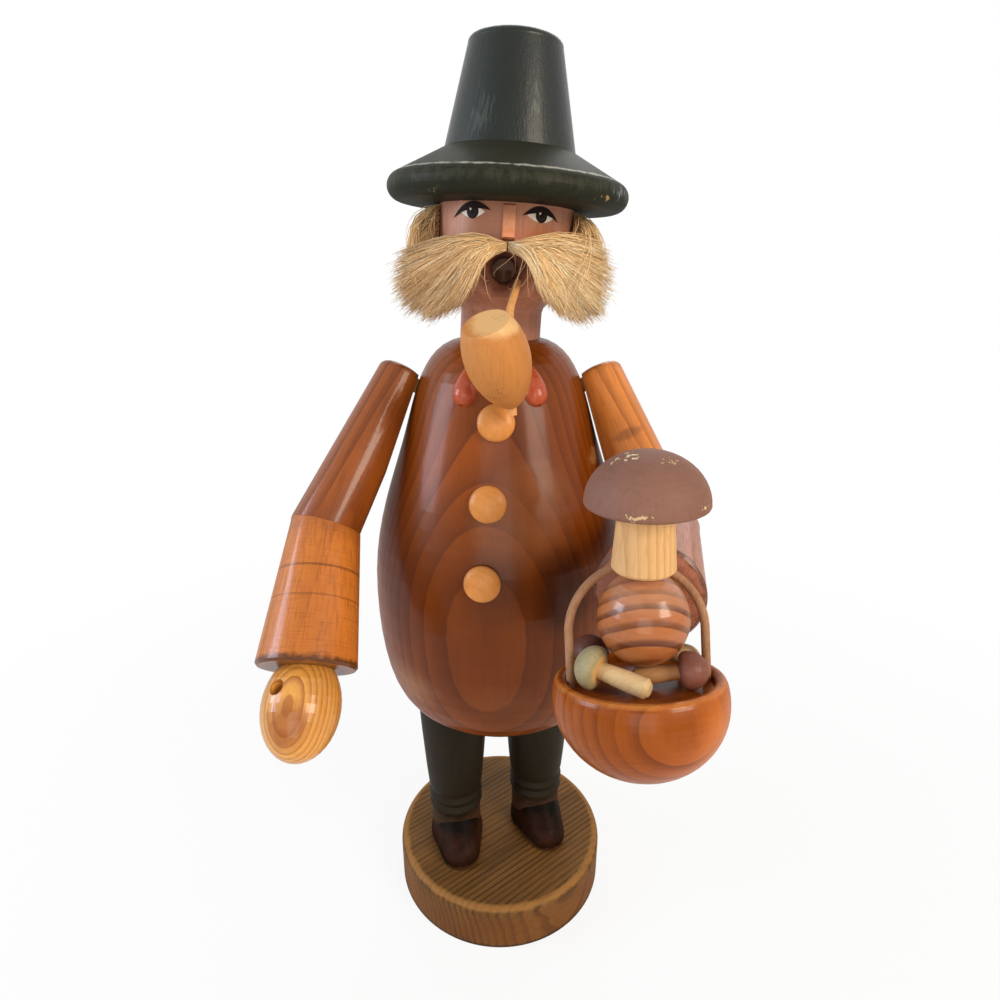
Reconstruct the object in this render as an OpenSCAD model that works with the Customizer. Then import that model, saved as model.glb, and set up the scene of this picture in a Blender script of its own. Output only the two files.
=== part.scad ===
// A turned wooden incense smoker: a mushroom gatherer in a long coat and a tall hat.
// Every piece is drawn where it sits on the finished figure. Millimetres, +Z up.
// The figure faces -Y, so its right hand is at -X. The origin is the centre of the base's underside.

/* [Base] */
// Radius of the base disc
base_r = 43.9; // [38:0.1:55]
// Thickness of the base disc
base_h = 20.2; // [14:0.1:30]
// Rounding of the worn top edge
base_edge_r = 3.2; // [1:0.1:5]
// Turn of the legs about the upright axis
stance_turn = 14.5; // [-20:0.5:20]
// How far the legs stand off the middle, sideways
stance_shift = -1.7; // [-3:0.1:3]

/* [Legs] */
// Height of the legs above the base
leg_h = 74.5; // [60:0.5:100]
// Distance between the two leg centres
leg_spacing = 36; // [33:0.5:38]
// Radius of a leg at the top
leg_top_r = 14.3; // [12:0.1:15.5]
// Radius of a leg at the ankle
ankle_r = 10.4; // [9:0.1:11.5]
// Height of the ankle folds above the base
ankle_h = 26; // [22:0.5:32]
// Length of a foot in front of the leg's centre
toe_len = 22; // [16:0.5:26]
// Half the width of a foot
toe_r = 11.3; // [8.5:0.1:12]
// Turn-out of each foot
toe_out = 4; // [0:1:12]
// Radius of the dowels that pin the legs
leg_dowel_r = 3; // [2:0.1:4]
// Depth of each leg dowel in the piece at either end
leg_dowel_depth = 11; // [8:0.5:13]

/* [Seat plug and tray] */
// Thickness of the plug's flange
flange_h = 4; // [3:0.1:6]
// How far the flange stands out past the plug
flange_lip = 2.4; // [1.5:0.1:3.5]
// Height of the plug inside the coat
plug_h = 10; // [6:0.5:16]
// Radius of the incense tray
tray_r = 13; // [9:0.5:16]
// Height of the tray's rim
tray_h = 3; // [1.5:0.1:5]
// Thickness of the tray's sheet
tray_t = 0.5; // [0.3:0.1:0.8]
// Radius of the tray nail's shank
nail_r = 0.9; // [0.6:0.1:1.3]
// Radius of each air hole in the plug
air_hole_r = 1.8; // [1:0.1:2]

/* [Coat] */
// Height of the coat
coat_h = 138.5; // [125:0.5:160]
// Radius of the coat's lower rim
rim_r = 33; // [32:0.5:38]
// Largest radius of the coat
belly_r = 47; // [44:0.5:56]
// Height of the largest radius above the rim
belly_h = 47; // [38:0.5:56]
// Radius of the coat where the shoulders begin
shoulder_r = 34.5; // [32:0.5:38]
// Height above the rim where the shoulders begin
shoulder_h = 104; // [98:0.5:110]
// Radius of the bore inside the coat
coat_bore_r = 27; // [22:0.5:28]
// Height of the straight bore above the rim
coat_bore_h = 95; // [80:0.5:98]
// Radius of the neck, and of the coat's flat top
neck_r = 13.6; // [12:0.1:15]

/* [Buttons and collar] */
// Radius of a button
button_r = 5.9; // [4:0.1:7]
// Height of a button's dome
button_h = 3.6; // [2:0.1:5]
// Heights of the buttons above the coat's rim
button_heights = [67.5, 91.5, 115.6];
// Angles of the buttons, towards the figure's right
button_angles = [7, 5.5, 2.2];
// Length of a collar end
collar_len = 20.5; // [14:0.5:24]
// Largest radius of a collar end
collar_r = 4.1; // [3:0.1:5]

/* [Head] */
// Sideways lean of the head and hat
head_lean = 3.2; // [0:0.1:6]
// Height of the head, with the neck
head_h = 40.5; // [38:0.5:50]
// Radius of the head
head_r = 21.7; // [19.5:0.1:24]
// Height of the visible neck
neck_h = 9; // [6:0.5:11]
// Height of the mouth above the coat
mouth_h = 21.8; // [20:0.1:24]
// Radius of the mouth bore
mouth_r = 3.8; // [3:0.1:4.5]
// Radius of the countersink round the mouth
mouth_rim_r = 7.2; // [6:0.1:8]
// Radius of the smoke channel
channel_r = 2.7; // [2:0.1:2.8]
// Radius of the neck tenon
neck_tenon_r = 8.5; // [6:0.5:10]
// Length of the neck tenon
neck_tenon_h = 13; // [8:0.5:16]
// Width of the nose
nose_w = 3.6; // [2.5:0.1:5]
// How far the nose stands out at its tip
nose_out = 4.4; // [2:0.1:6]

/* [Hat] */
// Radius of the brim
brim_r = 38.2; // [32:0.1:46]
// Thickness of the brim's rounded edge
brim_edge_t = 8.2; // [6:0.1:10]
// Height of the brim up to the crown
brim_h = 16; // [12:0.5:20]
// Radius at the foot of the crown
crown_r = 20.6; // [17:0.1:24]
// Radius at the top of the crown
crown_top_r = 14.4; // [12:0.1:18]
// Height of the crown
crown_h = 30; // [24:0.5:44]
// Rounding of the crown's top edge
crown_edge_r = 2; // [1:0.1:3]
// Radius of the crown's tenon in the brim
crown_tenon_r = 7; // [4:0.5:9]
// Length of the crown's tenon
crown_tenon_h = 6; // [4:0.5:7]
// Radius of the dowel between head and brim
hat_dowel_r = 3; // [2:0.1:4]

/* [Hair] */
// Thickness of the hair band round the back of the head
hair_t = 6; // [3:0.5:8]
// Clearance between hair and wood
hair_gap = 0.3; // [0.3:0.1:0.6]

/* [Arms] */
// Height above the coat's rim where the arms meet the coat
arm_seat_h = 122.6; // [118:0.1:127]
// Tilt of the right shoulder's axis, upwards
right_tilt = 27; // [22:0.5:30]
// Tilt of the left shoulder's axis, upwards
left_tilt = 23; // [22:0.5:30]
// Forward swing of the upper arms
arm_swing = 27.5; // [20:0.5:36]
// Length of the upper arm, shoulder pivot to elbow
upper_arm_len = 57.6; // [50:0.5:68]
// Length of the forearm, elbow to cuff
forearm_len = 46.6; // [38:0.5:56]
// Radius of the upper arm at the shoulder
shoulder_end_r = 8.2; // [7:0.1:9]
// Radius of the sleeve at the elbow
elbow_r = 11.4; // [10:0.1:13]
// Radius of the cuff
cuff_r = 15.3; // [13:0.1:17]
// Distance from the arm's axis to the flat on its inner side
arm_flat = 6; // [5:0.1:6.8]
// Bend of the right elbow
right_bend = 26; // [15:1:40]
// Direction of the right elbow's bend, turned inwards
right_turn = 46; // [20:1:60]
// Bend of the left elbow
left_bend = 70; // [60:1:75]
// Direction of the left elbow's bend, turned inwards
left_turn = 18.5; // [10:0.5:35]
// Radius of the shoulder dowels
shoulder_dowel_r = 2.5; // [2:0.1:3]
// Radius of the elbow dowels
elbow_dowel_r = 2.5; // [2:0.1:3.5]
// Radius of the wrist dowels
wrist_dowel_r = 3; // [2:0.1:4]

/* [Hands] */
// Radius of a hand
hand_r = 11.7; // [10:0.1:13]
// Half the length of the right hand
right_hand_half = 15.8; // [14:0.1:17]
// Depth of the right hand in its cuff
cuff_recess = 4.6; // [3:0.1:6]
// Half the height of the left hand
left_hand_half = 12.4; // [12:0.1:15]
// Radius of the hole for a stick in the right hand
stick_hole_r = 2.4; // [1.5:0.1:3]
// Depth of the stick hole
stick_hole_depth = 17; // [10:0.5:18]
// Angle between the stick hole and the forearm
stick_tilt = 68; // [60:1:80]

/* [Large mushroom] */
// Radius of the stem at its foot
big_stem_r = 8; // [6:0.1:9]
// Radius of the stem under the cap
big_stem_top_r = 6.9; // [5.5:0.1:8.4]
// Height of the stem
big_stem_h = 15.2; // [9:0.1:20]
// Radius of the cap
big_cap_r = 15.1; // [12:0.1:19]
// Height of the cap's dome
big_cap_h = 12.8; // [9:0.1:16]
// Depth of the cap's rounded underside
big_cap_under = 2; // [2:0.1:5]
// Radius of the peg through the mushroom
big_peg_r = 2; // [1.5:0.1:3]

/* [Basket] */
// Largest radius of the basket bowl
bowl_r = 22.7; // [21:0.1:27]
// Depth of the bowl
bowl_depth = 26; // [24:0.1:34]
// Width of the bowl's rim
bowl_rim_w = 3.8; // [3.5:0.1:5.5]
// Depth of the recess in the bowl
bowl_recess = 2.4; // [1.5:0.1:3.5]
// Radius of the reed that makes the handle
handle_reed_r = 1.15; // [0.8:0.05:1.3]
// Height of the handle's arch above the rim
handle_h = 29.2; // [28:0.1:36]
// Backward lean of the basket
basket_lean = 16; // [14:0.5:17]
// Sideways lean of the basket
basket_roll = 3; // [0:0.5:4]

/* [Pipe] */
// Length of the pipe bowl
pipe_len = 28.5; // [22:0.1:32]
// Largest radius of the pipe bowl
pipe_r = 9.4; // [7.5:0.1:10.5]
// Radius of the pipe bowl's flat top
pipe_top_r = 6.5; // [5:0.1:8]
// Radius of the stem reed
stem_reed_r = 1.1; // [0.8:0.05:1.2]
// Depth of the stem in the mouth
stem_depth = 8; // [5:0.5:9]
// Length of the stem in front of the mouth, up to its bend
stem_front = 18; // [15:0.5:22]
// Length of the stem below its bend
stem_drop = 29.5; // [26:0.5:32]
// Bend of the stem
stem_bend = 62; // [50:1:68]
// Radius of the bend
stem_bend_r = 7; // [5:0.5:9]

/* [Fits] */
// Clearance of glued pins and seats
glue_gap = 0.03; // [0.02:0.01:0.1]
// Clearance of pins that turn or slide
run_gap = 0.05; // [0.03:0.01:0.1]
// Clearance between pieces that move past each other
body_gap = 0.3; // [0.2:0.05:0.8]

/* [Hidden] */
$fn = 96;
eps = 0.01;

lacquered_pine = "#9a5524";
sleeve_pine = "#8a4a20";
hand_pine = "#c98548";
dark_boot = "#33261e";
foot_brown = "#3a2418";
base_brown = "#6b4a2c";
plain_wood = "#d0ac78";
hat_green = "#28302b";
skin_stain = "#9a6a58";
straw_hair = "#d9bd86";
collar_red = "#8e3a24";
button_tan = "#d39a5c";
mauve_brown = "#7d5a50";
basket_orange = "#b0642c";
reed_tan = "#b08a62";
tin = "#b9bcc0";

// Heights and places that follow from the sizes above
leg_top = base_h + leg_h;
plug_top = leg_top + flange_h + plug_h;
coat_z = leg_top + body_gap;
coat_top = coat_z + coat_h;
foot_h = 17;
half_spacing = leg_spacing / 2;

// Points along a cubic curve, with its last point left out
function bezier(p, t) =
    pow(1 - t, 3) * p[0] + 3 * pow(1 - t, 2) * t * p[1] + 3 * (1 - t) * t * t * p[2] + pow(t, 3) * p[3];
function curve(p, steps = 9) = [for (i = [0 : steps - 1]) bezier(p, i / steps)];
function slope(p, t) =
    pow(1 - t, 2) * (p[1] - p[0]) + 2 * (1 - t) * t * (p[2] - p[1]) + t * t * (p[3] - p[2]);

// The place along a rising curve whose second number is v
function curve_at(p, v, low = 0, high = 1, tries = 24) =
    let (mid = (low + high) / 2)
    tries == 0 ? mid
    : bezier(p, mid)[1] < v ? curve_at(p, v, mid, high, tries - 1)
    : curve_at(p, v, low, mid, tries - 1);

// Quarter of an ellipse from its side to its top
function dome(r, h, steps = 10) = [for (i = [0 : steps]) [r * cos(90 * i / steps), h * sin(90 * i / steps)]];

// The coat's outline in three curves, as radius and height above the rim
shoulder_slope = 0.31;
coat_lower = [
    [rim_r, 0], [rim_r + 0.7 * (belly_r - rim_r), 0.06 * belly_h], [belly_r, 0.45 * belly_h], [belly_r, belly_h]
];
coat_upper = [
    [belly_r, belly_h], [belly_r, belly_h + 0.42 * (shoulder_h - belly_h)],
    [shoulder_r + 17 * shoulder_slope, shoulder_h - 17], [shoulder_r, shoulder_h]
];
coat_shoulder = [
    [shoulder_r, shoulder_h], [shoulder_r - 16 * shoulder_slope, shoulder_h + 16],
    [2 * neck_r, coat_h - 2.5], [neck_r, coat_h]
];
function coat_part(h) = h < belly_h ? coat_lower : h < shoulder_h ? coat_upper : coat_shoulder;
function coat_r_at(h) = bezier(coat_part(h), curve_at(coat_part(h), h))[0];
function coat_tilt_at(h) =
    let (d = slope(coat_part(h), curve_at(coat_part(h), h))) atan2(-d[0], d[1]);

// The shoulder pivot of the left arm: one flat and one gap away from the coat
seat_tilt = coat_tilt_at(arm_seat_h);
shoulder_off = arm_flat + 2 * body_gap;
shoulder_pivot = [
    coat_r_at(arm_seat_h) + shoulder_off * cos(seat_tilt), 0,
    coat_z + arm_seat_h + shoulder_off * sin(seat_tilt)
];
shoulder_dowel_in = 12;
shoulder_dowel_out = 4;

// Local distances of the wrists, and the left hand's place in the figure's frame
right_hand_off = right_hand_half - cuff_recess;
left_hand_off = hand_r + 0.4;
function turn_x(v, a) = [v[0], v[1] * cos(a) - v[2] * sin(a), v[1] * sin(a) + v[2] * cos(a)];
function turn_y(v, a) = [v[0] * cos(a) + v[2] * sin(a), v[1], v[2] * cos(a) - v[0] * sin(a)];
function turn_z(v, a) = [v[0] * cos(a) - v[1] * sin(a), v[0] * sin(a) + v[1] * cos(a), v[2]];
function arm_turn(v) = turn_y(turn_x(v, -arm_swing), -left_tilt);
function left_forearm_turn(v) = arm_turn(turn_z(turn_x(v, -left_bend), -left_turn));
left_elbow = shoulder_pivot + arm_turn([0, 0, -upper_arm_len]);
left_hand_centre = left_elbow + left_forearm_turn([0, 0, -forearm_len - left_hand_off]);

// The large mushroom stands on the left hand, clear of the basket's reed
mushroom_gap = 1.2;
mushroom_foot = left_hand_centre + [-0.9, 0, left_hand_half + mushroom_gap];
mushroom_lean = [-3, -1.2, 0];

// The basket hangs by its arch behind the left hand and under the mushroom
arch_apex = left_hand_centre + [-1.7, 0.43 * hand_r + handle_reed_r + 0.7, left_hand_half - 0.6];
bowl_centre = arch_apex - turn_y(turn_x([0, 0, handle_h], -basket_lean), -basket_roll);
bowl_wall = bowl_r - bowl_rim_w;
arch_r = bowl_wall - handle_reed_r - 0.05;
arch_foot_depth = 11;
recess_z = -bowl_recess;

// The pipe's stem starts in the lower corner of the mouth's countersink
stem_pitch = 25;
stem_yaw = -8.8;
stem_roll = -7.3;
stem_mouth = [4.5, -20, mouth_h - 3.5];
stem_tangent = stem_bend_r * tan(stem_bend / 2);
stem_tail = 2.5;
pipe_lean = 32;
pipe_yaw = 13.5;

// A solid of revolution from its outline, given as radius and height
module turned(outline) { rotate_extrude() polygon(outline); }

// Moves a piece drawn upwards from the origin so that it runs from a to b
module from_to(a, b) {
    v = b - a;
    translate(a) rotate([0, acos(v[2] / norm(v)), atan2(v[1], v[0])]) children();
}

// A plain dowel between two heights, and the bore that takes it
module dowel(r, low, high) { translate([0, 0, low]) cylinder(r = r, h = high - low); }

module legs_frame() { translate([stance_shift, 0, 0]) rotate([0, 0, stance_turn]) children(); }
module leg_place(side) { legs_frame() translate([side * half_spacing, 0, 0]) children(); }

module head_frame() { translate([0, 0, coat_top]) rotate([0, head_lean, 0]) children(); }

// Frames of the arms: side is -1 for the figure's right arm and 1 for its left
function pick(side, right, left) = side < 0 ? right : left;
module on_side(side) { if (side > 0) children(); else mirror([1, 0, 0]) children(); }
module shoulder_axis_frame(side) {
    on_side(side) translate(shoulder_pivot) rotate([0, -pick(side, right_tilt, left_tilt), 0]) children();
}
module arm_frame(side) { shoulder_axis_frame(side) rotate([-arm_swing, 0, 0]) children(); }
module elbow_frame(side, part = 1) {
    arm_frame(side) translate([0, 0, -upper_arm_len]) rotate([0, 0, -pick(side, right_turn, left_turn)])
        rotate([-part * pick(side, right_bend, left_bend), 0, 0]) children();
}
module cuff_frame(side) { elbow_frame(side) translate([0, 0, -forearm_len]) children(); }

module basket_frame() {
    translate(bowl_centre) rotate([0, -basket_roll, 0]) rotate([-basket_lean, 0, 0]) children();
}
module mushroom_frame() { translate(mushroom_foot) rotate(mushroom_lean) children(); }

// The stem's first stretch runs along +Z of this frame, out of the mouth
module stem_frame() {
    head_frame() translate(stem_mouth) rotate([0, 0, stem_yaw]) rotate([stem_pitch, 0, 0])
        rotate([0, stem_roll, 0]) rotate([90, 0, 0]) children();
}
module stem_drop_frame() {
    stem_frame() translate([0, 0, stem_front]) rotate([stem_bend, 0, 0]) children();
}

// Stand

module base_disc() {
    steps = 8;
    edge = [for (i = [0 : steps])
        [base_r - base_edge_r + base_edge_r * cos(90 * i / steps),
         base_h - base_edge_r + base_edge_r * sin(90 * i / steps)]];
    color(base_brown) difference() {
        turned(concat([[0, 0], [base_r - 0.8, 0], [base_r, 0.8]], edge, [[0, base_h]]));
        for (side = [-1, 1])
            leg_place(side) dowel(leg_dowel_r + glue_gap, base_h - leg_dowel_depth - 0.5, base_h + 1);
    }
}

// A boot leg: straight heel, soft folds at the ankle and a shaft that widens upwards
module leg(side) {
    fold = 0.9;
    outline = [
        [0, 0], [ankle_r, 0], [ankle_r, foot_h],
        [ankle_r + fold, ankle_h - 6], [ankle_r, ankle_h - 3.6], [ankle_r + fold, ankle_h - 1.2],
        [ankle_r + 0.2, ankle_h + 1.2], [ankle_r + 0.9, ankle_h + 4],
        [ankle_r + 1.6, ankle_h + 12], [leg_top_r - 1, leg_h - 18], [leg_top_r, leg_h], [0, leg_h]
    ];
    color(dark_boot) leg_place(side) translate([0, 0, base_h]) difference() {
        turned(outline);
        dowel(leg_dowel_r + glue_gap, -1, leg_dowel_depth + 0.5);
        dowel(leg_dowel_r + glue_gap, leg_h - leg_dowel_depth - 0.5, leg_h + 1);
    }
}
module right_leg() { leg(-1); }
module left_leg() { leg(1); }

// The carved front of a boot, glued against the leg and the base
module foot(side) {
    tip_r = 0.55 * toe_r;
    color(foot_brown) leg_place(side) translate([0, 0, base_h]) rotate([0, 0, side * toe_out]) difference() {
        hull() {
            translate([0, -1, 3]) scale(toe_r) sphere(r = 1, $fn = 32);
            translate([0, 1, foot_h - 0.45 * toe_r]) sphere(r = 0.85 * toe_r, $fn = 32);
            translate([0, -toe_len + 1.35 * tip_r, 0.4 * tip_r]) sphere(r = 1.3 * tip_r, $fn = 32);
        }
        translate([0, 0, -1]) cylinder(r = ankle_r + glue_gap, h = foot_h + 1);
        translate([0, 0, foot_h]) cylinder(r1 = ankle_r + glue_gap, r2 = ankle_r + 4, h = 6);
        translate([-50, 2.5, -1]) cube([100, 50, 60]);
        translate([-50, -50, glue_gap - 60]) cube([100, 100, 60]);
    }
}
module right_foot() { foot(-1); }
module left_foot() { foot(1); }

module foot_dowels() {
    color(plain_wood) for (side = [-1, 1])
        leg_place(side) dowel(leg_dowel_r, base_h - leg_dowel_depth, base_h + leg_dowel_depth);
}
module leg_dowels() {
    color(plain_wood) for (side = [-1, 1])
        leg_place(side) dowel(leg_dowel_r, leg_top - leg_dowel_depth, leg_top + leg_dowel_depth - 1);
}

// The flanged plug that the coat is put over
module seat_plug() {
    spigot_r = coat_bore_r - run_gap;
    flange_r = coat_bore_r + flange_lip;
    color(plain_wood) difference() {
        turned([
            [0, leg_top], [flange_r, leg_top], [flange_r, leg_top + flange_h], [spigot_r, leg_top + flange_h],
            [spigot_r, plug_top - 1], [spigot_r - 1, plug_top], [0, plug_top]
        ]);
        for (side = [-1, 1])
            leg_place(side) dowel(leg_dowel_r + glue_gap, leg_top - 1, leg_top + leg_dowel_depth - 0.5);
        for (a = [70, 110, 250, 290])
            legs_frame() rotate([0, 0, a]) translate([21, 0, 0]) dowel(air_hole_r, leg_top - 1, plug_top + 1);
        dowel(nail_r + glue_gap, plug_top - 9, plug_top + 1);
    }
}

module incense_tray() {
    inner = tray_r - tray_t;
    color(tin) translate([0, 0, plug_top]) difference() {
        turned([
            [0, 0], [tray_r - 1.5, 0], [tray_r, tray_h], [inner, tray_h], [inner - 1.4, tray_t], [0, tray_t]
        ]);
        dowel(nail_r + glue_gap, -1, 1);
    }
}
module tray_nail() {
    color(tin) translate([0, 0, plug_top]) {
        dowel(nail_r, -8, tray_t + eps);
        translate([0, 0, tray_t]) turned([[0, 0], [2, 0], [1.5, 0.8], [0, 1]]);
    }
}

// Coat and what is fixed to it

module coat_outer(grow = 0) {
    pts = concat(curve(coat_lower), curve(coat_upper), curve(coat_shoulder, 12), [[neck_r, coat_h]]);
    translate([0, 0, coat_z])
        turned(concat([[0, 0]], [for (p = pts) [p[0] + grow, p[1]]], [[0, coat_h + grow]]));
}

module coat() {
    rebate_r = coat_bore_r + flange_lip + run_gap;
    rebate_h = leg_top + flange_h - coat_z;
    bore = coat_bore_r;
    tenon = neck_tenon_r + glue_gap;
    color(lacquered_pine) difference() {
        coat_outer();
        translate([0, 0, coat_z]) turned([
            [0, -1], [rebate_r, -1], [rebate_r, rebate_h], [bore, rebate_h], [bore, coat_bore_h],
            [tenon, coat_h - neck_tenon_h - 5], [tenon, coat_h + 1], [0, coat_h + 1]
        ]);
        for (side = [-1, 1])
            shoulder_axis_frame(side) rotate([0, 90, 0])
                dowel(shoulder_dowel_r + glue_gap, -shoulder_off - shoulder_dowel_in - 0.5, 0);
        for (i = [0 : 2]) button_place(i) dowel(button_peg_r + glue_gap, -button_peg_len - 0.5, 2);
    }
}

button_peg_r = 1.5;
button_peg_len = 6;
module button_place(i) {
    h = button_heights[i];
    rotate([0, 0, -button_angles[i]]) translate([0, -coat_r_at(h), coat_z + h])
        rotate([90 - coat_tilt_at(h), 0, 0]) children();
}
// A domed button whose peg runs down into the coat
module button(i) {
    edge = 1;
    color(button_tan) button_place(i) {
        turned(concat(
            [[0, glue_gap], [button_r - 0.4, glue_gap]],
            [for (p = dome(button_r, button_h - edge)) [p[0], p[1] + edge]]));
        dowel(button_peg_r, -button_peg_len, edge);
    }
}
module button_lower() { button(0); }
module button_middle() { button(1); }
module button_upper() { button(2); }

// A turned drop that lies on the shoulder of the coat, from the neck outwards
module collar_end(side) {
    top_h = coat_h - 3;
    start = [side * 6.2, -15.5, coat_z + top_h];
    finish = [side * 12.4, -28.6, coat_z + coat_h - 18.6];
    unit = (finish - start) / norm(finish - start);
    low = [1.6, 0];
    color(collar_red) difference() {
        from_to(start, start + collar_len * unit) turned(concat(
            [[0, 0], low],
            curve([low, [2.4, 0.35 * collar_len], [collar_r, 0.5 * collar_len], [collar_r, 0.72 * collar_len]]),
            curve([[collar_r, 0.72 * collar_len], [collar_r, 0.9 * collar_len], [2.4, collar_len], [0, collar_len]])));
        coat_outer(glue_gap);
        translate([0, 0, coat_top - 1]) cylinder(r = neck_r + body_gap, h = 10);
    }
}
module right_collar_end() { collar_end(-1); }
module left_collar_end() { collar_end(1); }

module shoulder_dowel(side) {
    color(plain_wood) shoulder_axis_frame(side) rotate([0, 90, 0])
        dowel(shoulder_dowel_r, -shoulder_off - shoulder_dowel_in, shoulder_dowel_out);
}
module right_shoulder_dowel() { shoulder_dowel(-1); }
module left_shoulder_dowel() { shoulder_dowel(1); }

// Head and hat

module head() {
    jaw = [head_r - 2.2, neck_h + 5.5];
    cheek_z = neck_h + 15;
    outline = concat(
        [[0, -3], [neck_r, -3]],
        curve([[neck_r, neck_h], [neck_r + 0.5, neck_h + 3.5], [jaw[0] - 2, jaw[1] - 2.2], jaw], 6),
        curve([jaw, [head_r - 0.7, jaw[1] + 1.7], [head_r, cheek_z - 4], [head_r, cheek_z]], 6),
        [[head_r, cheek_z], [head_r, head_h], [0, head_h]]);
    color(skin_stain) difference() {
        union() {
            difference() {
                head_frame() turned(outline);
                translate([0, 0, coat_top - 50]) cylinder(r = 60, h = 50);
            }
            translate([0, 0, coat_top - neck_tenon_h]) cylinder(r = neck_tenon_r, h = neck_tenon_h + 1);
        }
        translate([0, 0, coat_top]) dowel(channel_r, -neck_tenon_h - 1, 4);
        head_frame() {
            dowel(channel_r, 2, mouth_h);
            translate([0, 0, mouth_h]) rotate([90, 0, 0]) {
                dowel(mouth_r, 0, head_r + 1);
                translate([0, 0, head_r - 2.6])
                    cylinder(r1 = mouth_r, r2 = mouth_rim_r + 1.6, h = 4);
            }
            dowel(hat_dowel_r + glue_gap, head_h - 8.5, head_h + 1);
        }
        stem_frame() dowel(stem_reed_r + run_gap, -stem_depth - 0.5, 2);
    }
}

// A narrow wedge of wood glued to the face
module nose() {
    back = -head_r - glue_gap;
    tip_z = head_h - 9.7;
    color(skin_stain) head_frame() translate([0.7 + nose_w / 2, 0, 0]) rotate([0, -90, 0])
        linear_extrude(height = nose_w)
            polygon([
                [tip_z - 0.8, back], [tip_z, back - nose_out], [tip_z + 1.2, back - nose_out],
                [head_h - 1, back - 0.9], [head_h - 0.5, back]
            ]);
}

module hat_brim() {
    edge_r = brim_edge_t / 2;
    steps = 12;
    edge = [for (i = [0 : steps]) let (a = -90 + 155 * i / steps)
        [brim_r - edge_r + edge_r * cos(a), edge_r + edge_r * sin(a)]];
    color(hat_green) head_frame() translate([0, 0, head_h]) difference() {
        turned(concat([[0, 0]], edge, [[crown_r, brim_h], [0, brim_h]]));
        dowel(hat_dowel_r + glue_gap, -1, 8.5);
        dowel(crown_tenon_r + glue_gap, brim_h - crown_tenon_h - 0.3, brim_h + 1);
    }
}

module hat_crown() {
    steps = 8;
    edge = [for (i = [0 : steps])
        [crown_top_r - crown_edge_r + crown_edge_r * cos(90 * i / steps),
         crown_h - crown_edge_r + crown_edge_r * sin(90 * i / steps)]];
    color(hat_green) head_frame() translate([0, 0, head_h + brim_h])
        turned(concat(
            [[0, -crown_tenon_h], [crown_tenon_r, -crown_tenon_h], [crown_tenon_r, 0], [crown_r, 0]],
            edge, [[0, crown_h]]));
}

module hat_dowel() { color(plain_wood) head_frame() dowel(hat_dowel_r, head_h - 8, head_h + 8); }

// Hair, as plain soft shapes

module moustache(side) {
    knot = [0.6 + side * 2.2, -head_r - 2.3, head_h - 12.3];
    middle = [side * 15.5, -head_r - 2.6, head_h - 18];
    tail = [side * 25.5, -head_r + 7, head_h - 19.5];
    color(straw_hair) head_frame() difference() {
        hull() {
            translate(knot) sphere(r = 1.3, $fn = 24);
            translate(middle) sphere(r = 6, $fn = 32);
            translate(tail) sphere(r = 6.6, $fn = 32);
        }
        translate([0, 0, -5]) cylinder(r = head_r + hair_gap, h = 60);
    }
}
module right_moustache() { moustache(-1); }
module left_moustache() { moustache(1); }

// The thread that ties the two halves together, lying on the face
module moustache_tie() {
    color("#5a4632") head_frame() translate([0.6, -head_r - 2.3, head_h - 12.2]) rotate([0, 90, 0])
        dowel(1.4, -0.45, 0.45);
}

module hair_band() {
    inner = head_r + hair_gap;
    outer = inner + hair_t;
    color(straw_hair) head_frame() rotate([0, 0, -14]) rotate_extrude(angle = 208)
        polygon([
            [inner, neck_h + 7], [outer - 2, neck_h + 5], [outer, neck_h + 12],
            [outer - 1, head_h - 6], [outer - 2.5, head_h - hair_gap], [inner, head_h - hair_gap]
        ]);
}

// Arms

// The half-space on the hand's side of a mitred elbow
module mitre_block(side, gap) { elbow_frame(side, 0.5) translate([-40, -40, -80 + gap]) cube([80, 80, 80]); }

module upper_arm(side) {
    top = 2.9;
    edge = 2.4;
    flat_angle = 7;
    corner = [for (i = [0 : 6])
        [shoulder_end_r - edge + edge * cos(15 * i), top - edge + edge * sin(15 * i)]];
    color(sleeve_pine) difference() {
        arm_frame(side) turned(concat(
            [[0, -upper_arm_len - 12], [elbow_r, -upper_arm_len - 12], [elbow_r, -upper_arm_len]],
            corner, [[0, top]]));
        mitre_block(side, glue_gap);
        arm_frame(side) translate([-arm_flat, 0, 0]) rotate([0, flat_angle, 0])
            translate([-20, -20, -40]) cube([20, 40, 60]);
        shoulder_axis_frame(side) rotate([0, 90, 0])
            dowel(shoulder_dowel_r + run_gap, -12, shoulder_dowel_out + 0.3);
        elbow_frame(side, 0.5) dowel(elbow_dowel_r + glue_gap, -1, 12.5);
    }
}
module elbow_dowel(side) { color(plain_wood) elbow_frame(side, 0.5) dowel(elbow_dowel_r, -12, 12); }
module forearm(side) {
    color(sleeve_pine) difference() {
        elbow_frame(side) turned([
            [0, -forearm_len], [cuff_r - 0.7, -forearm_len], [cuff_r, -forearm_len + 0.8],
            [elbow_r, 0], [elbow_r, 12], [0, 12]
        ]);
        elbow_frame(side, 0.5) translate([-40, -40, -glue_gap]) cube([80, 80, 80]);
        elbow_frame(side, 0.5) dowel(elbow_dowel_r + glue_gap, -12.5, 1);
        cuff_frame(side) dowel(wrist_dowel_r + glue_gap, -1, wrist_dowel_in + 0.5);
        if (side < 0) cuff_frame(side) translate([0, 0, -right_hand_off]) hand_shape(right_hand_half, glue_gap);
    }
}
wrist_dowel_in = 13;
module wrist_dowel(side) {
    color(plain_wood) cuff_frame(side) dowel(wrist_dowel_r, pick(side, -4, -6.5), wrist_dowel_in);
}

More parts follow.
